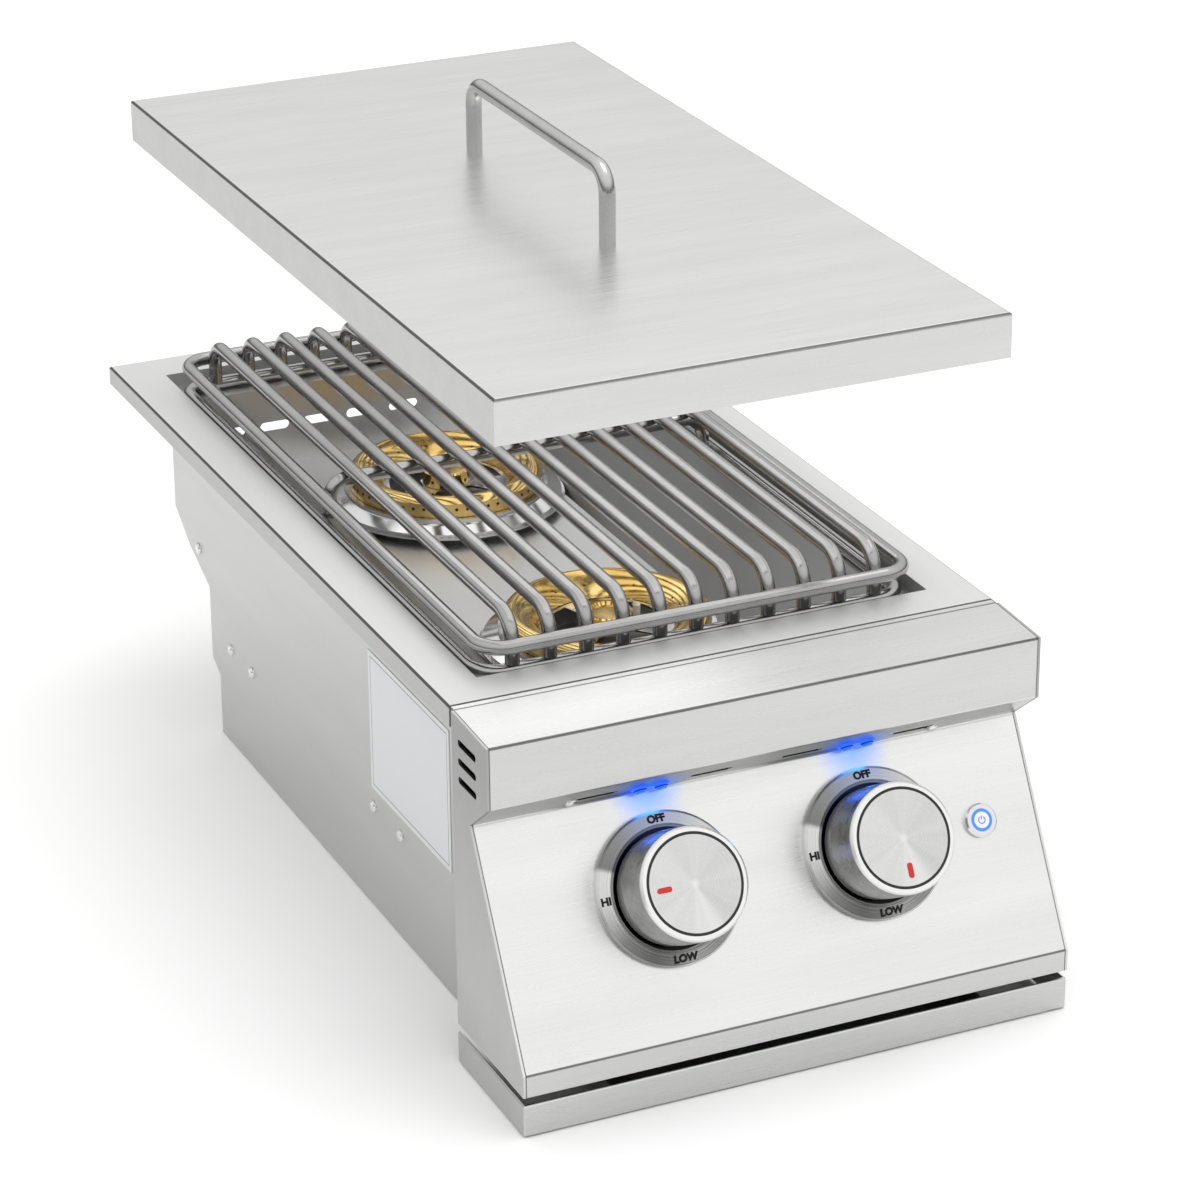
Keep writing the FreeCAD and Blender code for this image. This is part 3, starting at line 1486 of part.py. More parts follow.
def make_lid():
    """The lid as a shallow box without a floor, with a round-bar handle held by two screws."""
    x = s.lid_rest_x
    y = s.lid_rest_y
    foot = s.handle_spacing / 2
    sheet_metal = folded_pan("lid", s.lid_width, s.lid_depth, s.lid_height, s.lid_metal, s.lid_edge_radius)
    place(sheet_metal, x, y, lid_top - s.lid_height)
    holes = []
    for side in (-1, 1):
        holes.append(rod("lid_hole", s.screw_shank_radius, s.lid_metal * 3,
                         (x, y + foot * side, lid_top - s.lid_metal * 2)))
    keep(cut("lid_cut", sheet_metal, *holes), "lid_shell")
    corners = [(y - foot, lid_top), (y - foot, lid_top + s.handle_rise),
               (y + foot, lid_top + s.handle_rise), (y + foot, lid_top)]
    bar = pipe("handle_bar", s.handle_radius, ("YZ", x, corners, s.handle_bend, False),
               ("XY", lid_top, (x, y - foot)))
    bores = []
    screws = []
    depth = s.screw_length - s.lid_metal
    for side in (-1, 1):
        bores.append(rod("handle_bore", s.screw_shank_radius, depth, (x, y + foot * side, lid_top)))
        item = screw("handle_screw")
        screws.append(place(item, x, y + foot * side, lid_top - s.lid_metal, axis=(1, 0, 0), angle=180))
    keep(cut("handle_cut", bar, *bores), "lid_handle")
    keep(gather("handle_screw_pair", *screws), "lid_handle_screws")


# The whole burner

make_top_flange()
make_side_panel("left_side_panel", -1)
make_side_panel("right_side_panel", 1)
make_rear_panel()
make_base_pan()
make_front_bulkhead()
make_liner()
make_fascia()
make_cheek("left_cheek", -1)
make_cheek("right_cheek", 1)
make_orifices()
make_manifold()
make_inlet()
make_electrodes()
make_module()
make_lamps()
make_button()
make_screws()
make_plate()
make_tray()
make_rails()
make_grate()
make_lid()
for name, knob_side in (("left", -1), ("right", 1)):
    axis_x = knob_x * knob_side
    make_bezel(name + "_bezel", axis_x)
    make_knob(name, axis_x)
    make_pointer(name, axis_x, knob_side > 0)
    make_stem(name, axis_x)
    make_valve(name, axis_x)
for name, knob_side, burner_y in (("front", -1, s.burner_front_y), ("rear", 1, burner_rear_y)):
    make_mixer(name + "_mixer_tube", knob_side, burner_y)
    make_burner_base(name + "_burner_base", knob_side, burner_y)
    make_bowl(name + "_burner_bowl", burner_y)
    make_ring(name + "_burner_ring", burner_y)
    make_cap(name + "_burner_cap", burner_y)
doc.recompute()

# Checks before export

for thing in doc.Objects:
    if "Invalid" in thing.State or "Error" in thing.State:
        raise SystemExit("%s failed: %s" % (thing.Label, thing.State))
for piece in pieces:
    shape = piece.Shape
    if shape.isNull() or not shape.isValid() or not shape.Solids:
        raise SystemExit("%s has no valid solid" % piece.Label)

os.makedirs("parts", exist_ok=True)
for piece in pieces:
    piece.Shape.exportStep("parts/%s.step" % piece.Label)
print("%d pieces written" % len(pieces))
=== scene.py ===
"""Built-in double side burner: looks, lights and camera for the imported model.

Metres, in the model's own frame. X runs along the front, Y to the back, Z up from the floor.
"""
import math

import bpy
from mathutils import Matrix, Vector


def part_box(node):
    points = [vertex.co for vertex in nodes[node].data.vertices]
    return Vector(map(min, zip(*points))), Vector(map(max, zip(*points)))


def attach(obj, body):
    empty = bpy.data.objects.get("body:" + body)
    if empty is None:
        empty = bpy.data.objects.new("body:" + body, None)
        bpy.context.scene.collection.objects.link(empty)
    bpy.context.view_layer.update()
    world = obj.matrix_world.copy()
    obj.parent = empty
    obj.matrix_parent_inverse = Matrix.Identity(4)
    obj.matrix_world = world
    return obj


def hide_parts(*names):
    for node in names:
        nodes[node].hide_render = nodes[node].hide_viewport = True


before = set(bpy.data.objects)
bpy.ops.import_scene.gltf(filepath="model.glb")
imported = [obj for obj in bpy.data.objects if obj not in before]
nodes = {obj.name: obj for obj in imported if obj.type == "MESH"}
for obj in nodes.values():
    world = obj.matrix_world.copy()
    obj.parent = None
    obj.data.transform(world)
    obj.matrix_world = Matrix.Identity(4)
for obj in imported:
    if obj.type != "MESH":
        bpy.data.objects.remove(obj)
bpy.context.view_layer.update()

SIDES = ("left", "right")
X, Y, Z = range(3)

# Directions: the slanted face, the underside of the overhang and the frame's own axes

FACE_NORMAL = Vector((0, -0.869625, 0.493741))
FACE_UP = Vector((0, 0.493741, 0.869625))
UNDER_NORMAL = Vector((0, -0.623, -0.782)).normalized()
RIGHTWARD = Vector((1, 0, 0))
BACKWARD = Vector((0, 1, 0))
UPWARD = Vector((0, 0, 1))

# Knobs and bezels: heights over the slanted face, radii, and the pitch of the lathe's rings

KNOB_FACE_MIDDLE = 0.0414
SHELL_LOW = 0.004
SHELL_HIGH = 0.042
BEZEL_HEIGHT = 0.006
BEZEL_SLOPE = 0.236
BEZEL_LIP = 0.002
WELL_RADIUS = 0.0352
WELL_FADE = (-0.0001, 0.0002)
KNURL_LOW = 0.013
KNURL_HIGH = 0.0395
KNURL_ROWS = 36
KNURL_COLUMNS = 280
KNURL_INNER_RADIUS = 0.0325
KNURL_VALLEY_RADIUS = 0.03283
KNURL_PEAK_RADIUS = 0.03315
FACE_RING_PITCH = 0.0009
SHELL_RING_PITCH = 0.0007

# Lamps: the lens with its two domes

LENS_MIDDLE_RISE = 0.0008
DOME_OFFSET = 0.0066
DOME_RADIUS = 0.0037
DOME_RISE = 0.003
RIM_BELOW_DOME = 0.0009
RIM_THICKNESS = 0.0007

# The lamps' light painted on the steel: a glow round the lens, and a beam that widens down the face

NEAR_RANGE = (0.006, 0.028)
NEAR_STRENGTH = 0.85
BEAM_LENGTH = 0.05
BEAM_HALF_TOP = 0.014
BEAM_HALF_FOOT = 0.030
BEAM_EDGE = (0.35, 1.3)
BEAM_FADE = (0.004, 0.056)
BEAM_STRENGTH = 0.42
BEAM_START = (-0.004, 0.008)

# Lettering and the power mark

WORD_RADIUS = 0.0403
WORD_SIZE = 0.0062
WORD_DEPTH = 0.00015
WORD_WEIGHT = 0.00032
WORD_LIFT = 0.00005
MARK_RADIUS = 0.0021
MARK_THICKNESS = 0.0006
MARK_ANGLES = (125, 415)
MARK_BAR = ((0, 0.0002), (0, 0.0025))
ARC_STEPS = 28

# Sheet metal: where the fascia's folds and seams lie, and how wide the dark lines of painted shade are

FASCIA_SEAM_X = 0.1730
FASCIA_CREASE_Y = -0.0046
FASCIA_FRONT_Y = -0.0547
FASCIA_TOP_Z = 0.2225
FOOT_FRONT_Y = -0.0994
FOOT_TOP_Z = 0.0389
EDGE_INSET = 0.0006
EDGE_HALF = 0.0005
EDGE_FADE = 0.0004
SEAM_FADE = 0.0002
PLATE_LINE_INSET = 0.0035
PLATE_LINE_FADE = (0.0003, 0.0005)

# Streaks of brushed steel: noise scales across and along the grain, and the share of each kind

FINE_ACROSS = 1400.0
FINE_ALONG = 16.0
BROAD_ACROSS = 45.0
BROAD_ALONG = 5.0
FINE_SHARE = 0.55
BROAD_SHARE = 0.45

# Ranges of the surface normal's parts that tell which way a face looks, and the folds between two faces; the
# tones below are painted shade on those faces

UPRIGHT_Z = (0.05, 0.4)
SIDEWAYS_X = (0.5, 0.95)
HANGING_Z = (-0.75, -0.2)
TOP_FOLD_Z = (0.86, 0.97)
FRONT_FOLD_Z = (0.56, 0.68)
FOLD_SHADE = 0.5
FASCIA_TOP_FACING_Z = (0.9, 0.98)
FASCIA_TOP_SHADE = 0.80
INSIDE_Y = (0.3, 0.5)
INSIDE_Z = (-0.95, -0.85)
INSIDE_SHADE = 0.10
ABOVE_SLOT_WALL_Z = (0.66, 0.70)
BELOW_SLOT_WALL_Z = (0.55, 0.59)
SLOT_WALL_SHADE = 0.05

# Burner heads in millimetres: outlines of radius and height

RING_PROFILE = ((61.8, 0), (64, 0), (64, 9.1), (62.5, 10.9), (59.5, 12.2), (58, 12.6), (56.5, 12.2),
                (52, 10.9), (44, 5.1), (41, 0), (43.2, 0), (46.2, 4.0), (52, 8.0), (58, 10.4), (61.8, 8.0))
CAP_PROFILE = ((13.3, 0), (15.5, 0), (15.5, 9), (14.5, 10), (12.5, 10), (10.7, 8.2), (0, 8.2), (0, 6),
               (13.3, 6))
MILLIMETRES = 1000
TURNED_SIDES = 144
SHARP_ANGLE = math.radians(35)

# Rows of gas ports: a radius, a height, a tilt in radians, a port's radius and a count

RING_PORTS = ((64, 5.3, 0.0, 1.1, 56), (46.6, 7.0, 2.2, 0.8, 28))
CAP_PORTS = ((15.5, 4.0, 0.0, 1.1, 16),)
PLUG_SIDES = 10
PLUG_DEPTH = 0.0004

# Colours

BLACK = (0.0, 0.0, 0.0)
NEAR_BLACK = (0.012, 0.012, 0.012)
# The next two are painted shade: along folded edges, and in the seams
EDGE_SHADE = (0.05, 0.05, 0.05)
SEAM_SHADE = (0.04, 0.04, 0.04)
BRASS = (0.90, 0.62, 0.20)
BRASS_DARK = (0.66, 0.42, 0.12)
BRASS_LIGHT = (0.80, 0.59, 0.24)
FOIL = (0.72, 0.73, 0.74)
FOIL_LINE = (0.30, 0.31, 0.33)
# The next three are the lamps' light painted on the steel, as colour and glow
PAINTED_GLOW_BLUE = (0.22, 0.44, 1.0)
PAINTED_GLOW_EMISSION = (0.02, 0.15, 0.85)
BEZEL_PAINTED_GLOW = (0.10, 0.22, 0.62)
LAMP_BLUE = (0.01, 0.10, 1.0)

# The spun bezel's painted highlights and shade round its axis, from nine o'clock by way of six, as place and
# brightness

BEZEL_HIGHLIGHT_FAN = ((0.0, 0.66), (0.05, 0.50), (0.10, 0.30), (0.18, 0.24), (0.22, 0.34), (0.27, 0.62),
             (0.34, 0.52), (0.42, 0.66), (0.52, 0.66), (0.64, 0.60), (0.74, 0.44), (0.84, 0.26),
             (0.925, 0.20), (0.935, 0.66))

# The sky's brightness from the horizon to straight up, and the side where it is brightest

SKY_STOPS = ((0.0, 0.18), (0.10, 0.22), (0.20, 0.60), (0.30, 0.80), (0.37, 1.0), (0.45, 1.03),
             (0.65, 1.08), (1.0, 1.22))
SKY_BLUE_SHARE = 0.995
SKY_BRIGHT_SIDE = (0.48, -0.72, 0.50)
SKY_SIDE_RANGE = (-0.2, 0.95)
SKY_LIFT = 1.12

# Floor and lights: places and sizes in metres, powers in watts

FLOOR_SIZE = 9
FLOOR_DROP = 0.0005
KEY_PLACE = (0.6, 0.2, 3.0)
KEY_AIM = (0, 0.25, 0.1)
KEY_SIZE = (1.6, 1.6)
KEY_POWER = 15
FILL_GAP = 0.001
FILL_SIZE = (0.29, 0.57)
FILL_POWER = 0.62
LAMP_LIGHT_GAP = 0.001
LAMP_LIGHT_AIM = 0.02
LAMP_LIGHT_SIZE = (0.018, 0.005)
LAMP_LIGHT_POWER = 0.004
LAMP_LIGHT_COLOUR = (0.03, 0.20, 1.0)

# The photograph's camera, solved from the flange's corners, for a square frame; angles in radians

FRAME_PIXELS = 1200
FOCAL_PIXELS = 4217.04
PRINCIPAL = (601.488, 599.327)
SENSOR_MILLIMETRES = 36.0
CAMERA_PLACE = Vector((-0.9776, -1.9794, 1.2320))
CAMERA_YAW = 0.42575
CAMERA_PITCH = 0.41555
CAMERA_ROLL = -0.0068767


# Places

def middle(node):
    """The middle of a node's box."""
    low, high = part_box(node)
    return (Vector(low) + Vector(high)) / 2


def knob_base(side):
    """The point where a knob's axis meets the slanted face."""
    return middle(side + "_knob_face") - FACE_NORMAL * KNOB_FACE_MIDDLE


def lamp_place(side):
    """The middle of the lamp over a knob, on the sloped underside of the overhang."""
    place = middle("lamp_lenses") - UNDER_NORMAL * LENS_MIDDLE_RISE
    place.x = knob_base(side).x
    return place


def button_top():
    """The middle of the button cap's outer face."""
    low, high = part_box("button_cap")
    radius = (high[X] - low[X]) / 2
    half_y = (high[Y] - low[Y]) / 2
    half_length = (half_y - radius * abs(FACE_NORMAL.z)) / abs(FACE_NORMAL.y)
    return middle("button_cap") + FACE_NORMAL * half_length


def burner_foot(node):
    """The middle of a burner head's lower edge."""
    low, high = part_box(node)
    return Vector(((low[X] + high[X]) / 2, (low[Y] + high[Y]) / 2, low[Z]))


def on_slant(place, right=RIGHTWARD, up=FACE_UP):
    """A matrix whose X and Y lie along right and up, at a place."""
    turn = Matrix((right, up, right.cross(up))).transposed().to_4x4()
    return Matrix.Translation(place) @ turn


def circle_turn(number, count):
    """The turn in radians of one of several evenly spaced points on a circle."""
    return 2 * math.pi * number / count


# Pieces

def add_piece(name, data, shader, body, matrix=None):
    """An object that rides a body, from its mesh or curve, its material and its place."""
    data.materials.append(shader.material)
    piece = bpy.data.objects.new(name, data)
    bpy.context.scene.collection.objects.link(piece)
    if matrix is not None:
        piece.matrix_world = matrix
    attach(piece, body)
    return piece


def new_mesh(name, points, faces):
    """A mesh from its points and faces."""
    mesh = bpy.data.meshes.new(name)
    mesh.from_pydata(points, [], faces)
    return mesh


def paint(shader, *names):
    """Give nodes a material."""
    for name in names:
        mesh = nodes[name].data
        mesh.materials.clear()
        mesh.materials.append(shader.material)


def shade(colour, amount):
    """A colour made darker or lighter by a share."""
    return tuple(min(1.0, part * (1 + amount)) for part in colour)


# Shader nodes

class Nodes:
    """A node tree and short ways to add nodes to it."""

    def __init__(self, tree):
        self.tree = tree

    def node(self, kind):
        return self.tree.nodes.new("ShaderNode" + kind)

    def fill(self, socket, value):
        """Link a socket to an output, or set it to a plain value."""
        if isinstance(value, bpy.types.NodeSocket):
            self.tree.links.new(value, socket)
        else:
            socket.default_value = value

    def split(self, vector):
        """The X, Y and Z parts of a vector."""
        node = self.node("SeparateXYZ")
        self.tree.links.new(vector, node.inputs["Vector"])
        return node.outputs["X"], node.outputs["Y"], node.outputs["Z"]

    def math(self, operation, first, second=0.0):
        node = self.node("Math")
        node.operation = operation
        self.fill(node.inputs[0], first)
        self.fill(node.inputs[1], second)
        return node.outputs["Value"]

    def add(self, first, second):
        return self.math("ADD", first, second)

    def minus(self, first, second):
        return self.math("SUBTRACT", first, second)

    def times(self, first, second):
        return self.math("MULTIPLY", first, second)

    def smaller(self, first, second):
        return self.math("MINIMUM", first, second)

    def larger(self, first, second):
        return self.math("MAXIMUM", first, second)

    def absolute(self, value):
        return self.math("ABSOLUTE", value)

    def vector(self, operation, first, second=(0, 0, 0), out="Vector"):
        node = self.node("VectorMath")
        node.operation = operation
        self.fill(node.inputs[0], first)
        self.fill(node.inputs[1], second)
        return node.outputs[out]

    def dot(self, first, second):
        return self.vector("DOT_PRODUCT", first, tuple(second), "Value")

    def ranged(self, value, from_low, from_high, low, high, smooth=False):
        """Map a value from one range to another, clamped at both ends."""
        node = self.node("MapRange")
        node.interpolation_type = "SMOOTHSTEP" if smooth else "LINEAR"
        node.inputs["From Min"].default_value = from_low
        node.inputs["From Max"].default_value = from_high
        node.inputs["To Min"].default_value = low
        node.inputs["To Max"].default_value = high
        self.tree.links.new(value, node.inputs["Value"])
        return node.outputs["Result"]

    def noise(self, place, scale, detail=3.0):
        """Noise stretched by a scale along each axis."""
        mapping = self.node("Mapping")
        mapping.inputs["Scale"].default_value = scale
        self.tree.links.new(place, mapping.inputs["Vector"])
        noise = self.node("TexNoise")
        noise.inputs["Scale"].default_value = 1.0
        noise.inputs["Detail"].default_value = detail
        self.tree.links.new(mapping.outputs["Vector"], noise.inputs["Vector"])
        return noise.outputs["Fac"]

    def rings(self, distance, pitch=FACE_RING_PITCH):
        """Fine uneven rings left by a lathe, along a distance."""
        node = self.node("TexNoise")
        node.noise_dimensions = "1D"
        node.inputs["Scale"].default_value = 1 / pitch
        node.inputs["Detail"].default_value = 3.0
        self.tree.links.new(distance, node.inputs["W"])
        return node.outputs["Fac"]

    def ramp(self, value, stops):
        """A colour for each position from 0 to 1."""
        node = self.node("ValToRGB")
        elements = node.color_ramp.elements
        while len(elements) < len(stops):
            elements.new(0.5)
        for element, (position, colour) in zip(elements, stops):
            element.position = position
            element.color = (*colour, 1)
        self.tree.links.new(value, node.inputs["Fac"])
        return node.outputs["Color"]

    def mix(self, factor, first, second):
        """A colour between two, by a factor."""
        node = self.node("Mix")
        node.data_type = "RGBA"
        self.tree.links.new(factor, node.inputs["Factor"])
        for socket, value in ((node.inputs[6], first), (node.inputs[7], second)):
            self.fill(socket, value if isinstance(value, bpy.types.NodeSocket) else (*value, 1))
        return node.outputs[2]


class Shader(Nodes):
    """A material, its principled shader and short ways to drive it."""

    def __init__(self, name, colour, metallic, roughness, **more):
        self.material = bpy.data.materials.new(name)
        self.material.use_nodes = True
        super().__init__(self.material.node_tree)
        self.shader = self.tree.nodes["Principled BSDF"]
        self.shader.inputs["Base Color"].default_value = (*colour, 1)
        self.shader.inputs["Metallic"].default_value = metallic
        self.shader.inputs["Roughness"].default_value = roughness
        for word, value in more.items():
            self.shader.inputs[word.replace("_", " ")].default_value = value

    def set(self, socket, value):
        self.tree.links.new(value, self.shader.inputs[socket])

    def place(self):
        """The surface point in the model's frame, before its body moves."""
        return self.node("TexCoord").outputs["Object"]

    def normal(self):
        """The parts of the surface normal along X, Y and Z."""
        return self.split(self.node("TexCoord").outputs["Normal"])

    def away_from(self, centre):
        """The vector from a point of the model to the surface."""
        return self.vector("SUBTRACT", self.place(), tuple(centre))

    def even_noise(self, scale, detail=3.0):
        """Noise of the same scale along every axis."""
        return self.noise(self.place(), (scale,) * 3, detail)

    def worn(self, value, low, high, start=0.3, end=0.7):
        """Roughness that follows a noise."""
        self.set("Roughness", self.ranged(value, start, end, low, high))

    def bump(self, value, strength, distance=0.0001):
        """Relief that follows a noise."""
        node = self.node("Bump")
        node.inputs["Strength"].default_value = strength
        node.inputs["Distance"].default_value = distance
        self.tree.links.new(value, node.inputs["Height"])
        self.set("Normal", node.outputs["Normal"])

    def paint_glow(self, glow, strength):
        """Painted glow: blue light given off by a mask."""
        self.shader.inputs["Emission Color"].default_value = (*PAINTED_GLOW_EMISSION, 1)
        self.set("Emission Strength", self.times(glow, strength))


# Kinds of metal and plastic

def painted_shade_by_facing(metal, colours, front, side, under):
    """Painted shade: colours darker by a share on upright, sideways and hanging faces, and along folds."""
    normal_x, _, normal_z = metal.normal()
    upright = metal.ranged(metal.absolute(normal_z), *UPRIGHT_Z, front, 1.0)
    sideways = metal.ranged(metal.absolute(normal_x), *SIDEWAYS_X, 1.0, side)
    hanging = metal.ranged(normal_z, *HANGING_Z, under, 1.0)
    share = metal.smaller(metal.smaller(upright, sideways), hanging)
    fold = metal.larger(metal.ranged(normal_z, *TOP_FOLD_Z, FOLD_SHADE, 1.0),
                        metal.ranged(normal_z, *FRONT_FOLD_Z, 1.0, FOLD_SHADE))
    return metal.mix(metal.times(share, fold), BLACK, colours)


def along_grain(along, across_scale, along_scale):
    """Noise scales that stretch a noise along one axis."""
    scales = [across_scale] * 3
    scales[along] = along_scale
    return scales


def brushed_steel(name, colour, roughness, along, spread=0.04, bump=0.12, facing_shade=(0.88, 0.72, 0.6)):
    """Steel with fine streaks along one axis; facing_shade holds the shares of painted shade on front, side
    and lower faces.
    """
    metal = Shader(name, colour, 1.0, roughness)
    place = metal.place()
    streaks = metal.noise(place, along_grain(along, FINE_ACROSS, FINE_ALONG))
    clouds = metal.noise(place, along_grain(along, BROAD_ACROSS, BROAD_ALONG), 2.0)
    both = metal.add(metal.times(streaks, FINE_SHARE), metal.times(clouds, BROAD_SHARE))
    colours = metal.ramp(both, [(0.35, shade(colour, -spread)), (0.65, shade(colour, spread))])
    # Painted shade on upright, sideways and hanging faces and along the folds
    colours = painted_shade_by_facing(metal, colours, *facing_shade)
    metal.set("Base Color", colours)
    metal.worn(streaks, roughness - 0.05, roughness + 0.07)
    metal.bump(streaks, bump, 0.00012)
    return metal, place, colours


def satin_rod(name, colour, roughness):
    """Round bar with a grainy satin finish."""
    metal = Shader(name, colour, 1.0, roughness)
    grain = metal.even_noise(1100, 4.0)
    clouds = metal.even_noise(40, 2.0)
    metal.set("Base Color", metal.ramp(clouds, [(0.3, shade(colour, -0.06)), (0.7, shade(colour, 0.05))]))
    metal.worn(grain, roughness - 0.06, roughness + 0.08)
    metal.bump(grain, 0.06)
    return metal


def polished(name, colour, roughness, ripple=0.0, ripple_scale=60.0):
    """Polished metal with faint smears and, where asked, a slight ripple."""
    metal = Shader(name, colour, 1.0, roughness)
    metal.worn(metal.even_noise(25), roughness * 0.8, roughness * 1.5, 0.35, 0.65)
    if ripple:
        metal.bump(metal.even_noise(ripple_scale, 1.0), ripple, 0.002)
    return metal


def cast_metal(name, colour, roughness, grain=350.0):
    """Cast or galvanised metal with a fine uneven skin."""
    metal = Shader(name, colour, 1.0, roughness)
    skin = metal.even_noise(grain, 4.0)
    metal.set("Base Color", metal.ramp(skin, [(0.3, shade(colour, -0.12)), (0.7, shade(colour, 0.1))]))
    metal.worn(skin, roughness - 0.08, roughness + 0.1)
    metal.bump(skin, 0.3, 0.0002)
    return metal


def make_plain(name, colour, roughness, grain=0.0, **more):
    """Plastic, ceramic or paint, with a faint grain where asked."""
    skin = Shader(name, colour, 0.0, roughness, **more)
    if grain:
        specks = skin.even_noise(900)
        skin.set("Base Color", skin.ramp(specks, [(0.3, shade(colour, -grain)), (0.7, shade(colour, grain))]))
        skin.bump(specks, 0.15)
    return skin


# Painted shade: dark lines along folded edges

def off(metal, value, centre):
    """How far a value lies from a centre."""
    return metal.absolute(metal.minus(value, centre))


def shade_line(metal, distance, depth=1.0):
    """A mask of painted shade that is deep within half a line's width and fades beyond it."""
    return metal.ranged(distance, EDGE_HALF, EDGE_HALF + EDGE_FADE, depth, 0.0)


def edge_line(metal, place, first, first_value, second, second_value):
    """A mask along a folded edge, where two coordinates both come near the edge's own."""
    first_off = off(metal, metal.dot(place, first), first_value)
    second_off = off(metal, metal.dot(place, second), second_value)
    return shade_line(metal, metal.larger(first_off, second_off))


def painted_shade_edges(metal, place, colours, edges, depth=0.75):
    """Colours with a thin line of painted shade along each edge; an edge is two axes and two values."""
    total = edge_line(metal, place, *edges[0])
    for edge in edges[1:]:
        total = metal.larger(total, edge_line(metal, place, *edge))
    return metal.mix(metal.times(total, depth), colours, EDGE_SHADE)


def pan_edges(node):
    """The four top edges of a folded pan."""
    low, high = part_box(node)
    top = high[Z] - EDGE_INSET
    return [(BACKWARD, low[Y] + EDGE_INSET, UPWARD, top), (BACKWARD, high[Y] - EDGE_INSET, UPWARD, top),
            (RIGHTWARD, low[X] + EDGE_INSET, UPWARD, top), (RIGHTWARD, high[X] - EDGE_INSET, UPWARD, top)]


# Control panel

def painted_lamp_beam(metal, away):
    """A mask of one lamp's painted beam: wider and weaker down the face."""
    across = metal.absolute(metal.dot(away, RIGHTWARD))
    down = metal.times(metal.dot(away, FACE_UP), -1.0)
    width = metal.ranged(down, 0.0, BEAM_LENGTH, BEAM_HALF_TOP, BEAM_HALF_FOOT)
    inside = metal.ranged(metal.math("DIVIDE", across, width), *BEAM_EDGE, 1.0, 0.0, True)
    fade = metal.ranged(down, *BEAM_FADE, BEAM_STRENGTH, 0.0)
    started = metal.ranged(down, *BEAM_START, 0.0, 1.0, True)
    return metal.times(metal.times(inside, fade), started)


def painted_lamp_glow(metal):
    """A mask of the painted blue light of both lamps: strong beside each, weaker in its beam."""
    masks = []
    for side in SIDES:
        away = metal.away_from(lamp_place(side))
        distance = metal.vector("LENGTH", away, out="Value")
        near = metal.ranged(distance, *NEAR_RANGE, NEAR_STRENGTH, 0.0, True)
        masks.append(metal.larger(painted_lamp_beam(metal, away), near))
    return metal.larger(*masks)


def painted_shade_top_and_inside(metal, colours):
    """Painted shade: the fascia's top a little darker than its face, its inner faces and the slots' walls
    nearly black.
    """
    _, normal_y, normal_z = metal.normal()
    top = metal.ranged(normal_z, *FASCIA_TOP_FACING_Z, 1.0, FASCIA_TOP_SHADE)
    backward = metal.ranged(normal_y, *INSIDE_Y, 1.0, INSIDE_SHADE)
    downward = metal.ranged(normal_z, *INSIDE_Z, INSIDE_SHADE, 1.0)
    slot_wall = metal.larger(metal.ranged(normal_z, *ABOVE_SLOT_WALL_Z, SLOT_WALL_SHADE, 1.0),
                             metal.ranged(normal_z, *BELOW_SLOT_WALL_Z, 1.0, SLOT_WALL_SHADE))
    inside = metal.smaller(metal.smaller(backward, downward), slot_wall)
    return metal.mix(metal.times(top, inside), BLACK, colours)


def seam_shade_lines(metal, place):
    """A mask of painted shade in the seam beside each cheek and along the crease of the fascia's top."""
    x, y, _ = metal.split(place)
    seam = metal.ranged(metal.absolute(x), FASCIA_SEAM_X - SEAM_FADE, FASCIA_SEAM_X, 0, 0.85)
    return metal.larger(seam, shade_line(metal, off(metal, y, FASCIA_CREASE_Y), 0.75))


def make_panel_steel():
    """The fascia: horizontal grain, seams and folds as thin lines of painted shade, painted shade on its top
    and inner faces, and the lamps' light painted on it.
    """
    metal, place, colours = brushed_steel("panel steel", (0.80, 0.80, 0.79), 0.30, X, spread=0.05, bump=0.16,
                                          facing_shade=(0.735, 0.8, 0.66))
    # Painted shade: a darker top, and inner faces and slot walls nearly black
    colours = painted_shade_top_and_inside(metal, colours)
    # Painted shade in the seams beside the cheeks and along the top's crease
    colours = metal.mix(seam_shade_lines(metal, place), colours, SEAM_SHADE)
    # Painted shade along the fascia's front top edge and the foot's edge
    edges = [(BACKWARD, FASCIA_FRONT_Y + EDGE_INSET, UPWARD, FASCIA_TOP_Z - EDGE_INSET),
             (BACKWARD, FOOT_FRONT_Y, UPWARD, FOOT_TOP_Z)]
    colours = painted_shade_edges(metal, place, colours, edges)
    # The lamps' blue light painted on the face as colour and glow
    glow = painted_lamp_glow(metal)
    metal.set("Base Color", metal.mix(glow, colours, PAINTED_GLOW_BLUE))
    metal.paint_glow(glow, 0.22)
    paint(metal, "control_fascia")


# Knobs and bezels

def around_axis(metal, side):
    """The height over the face, the distance from a knob's axis, the turn about it and the way round."""
    away = metal.away_from(knob_base(side))
    height = metal.dot(away, FACE_NORMAL)
    across = metal.dot(away, RIGHTWARD)
    up = metal.dot(away, FACE_UP)
    radius = metal.math("SQRT", metal.add(metal.times(across, across), metal.times(up, up)))
    turn = metal.math("ARCTAN2", up, across)
    spin = metal.vector("CROSS_PRODUCT", tuple(FACE_NORMAL), away)
    return height, radius, turn, metal.vector("NORMALIZE", spin)


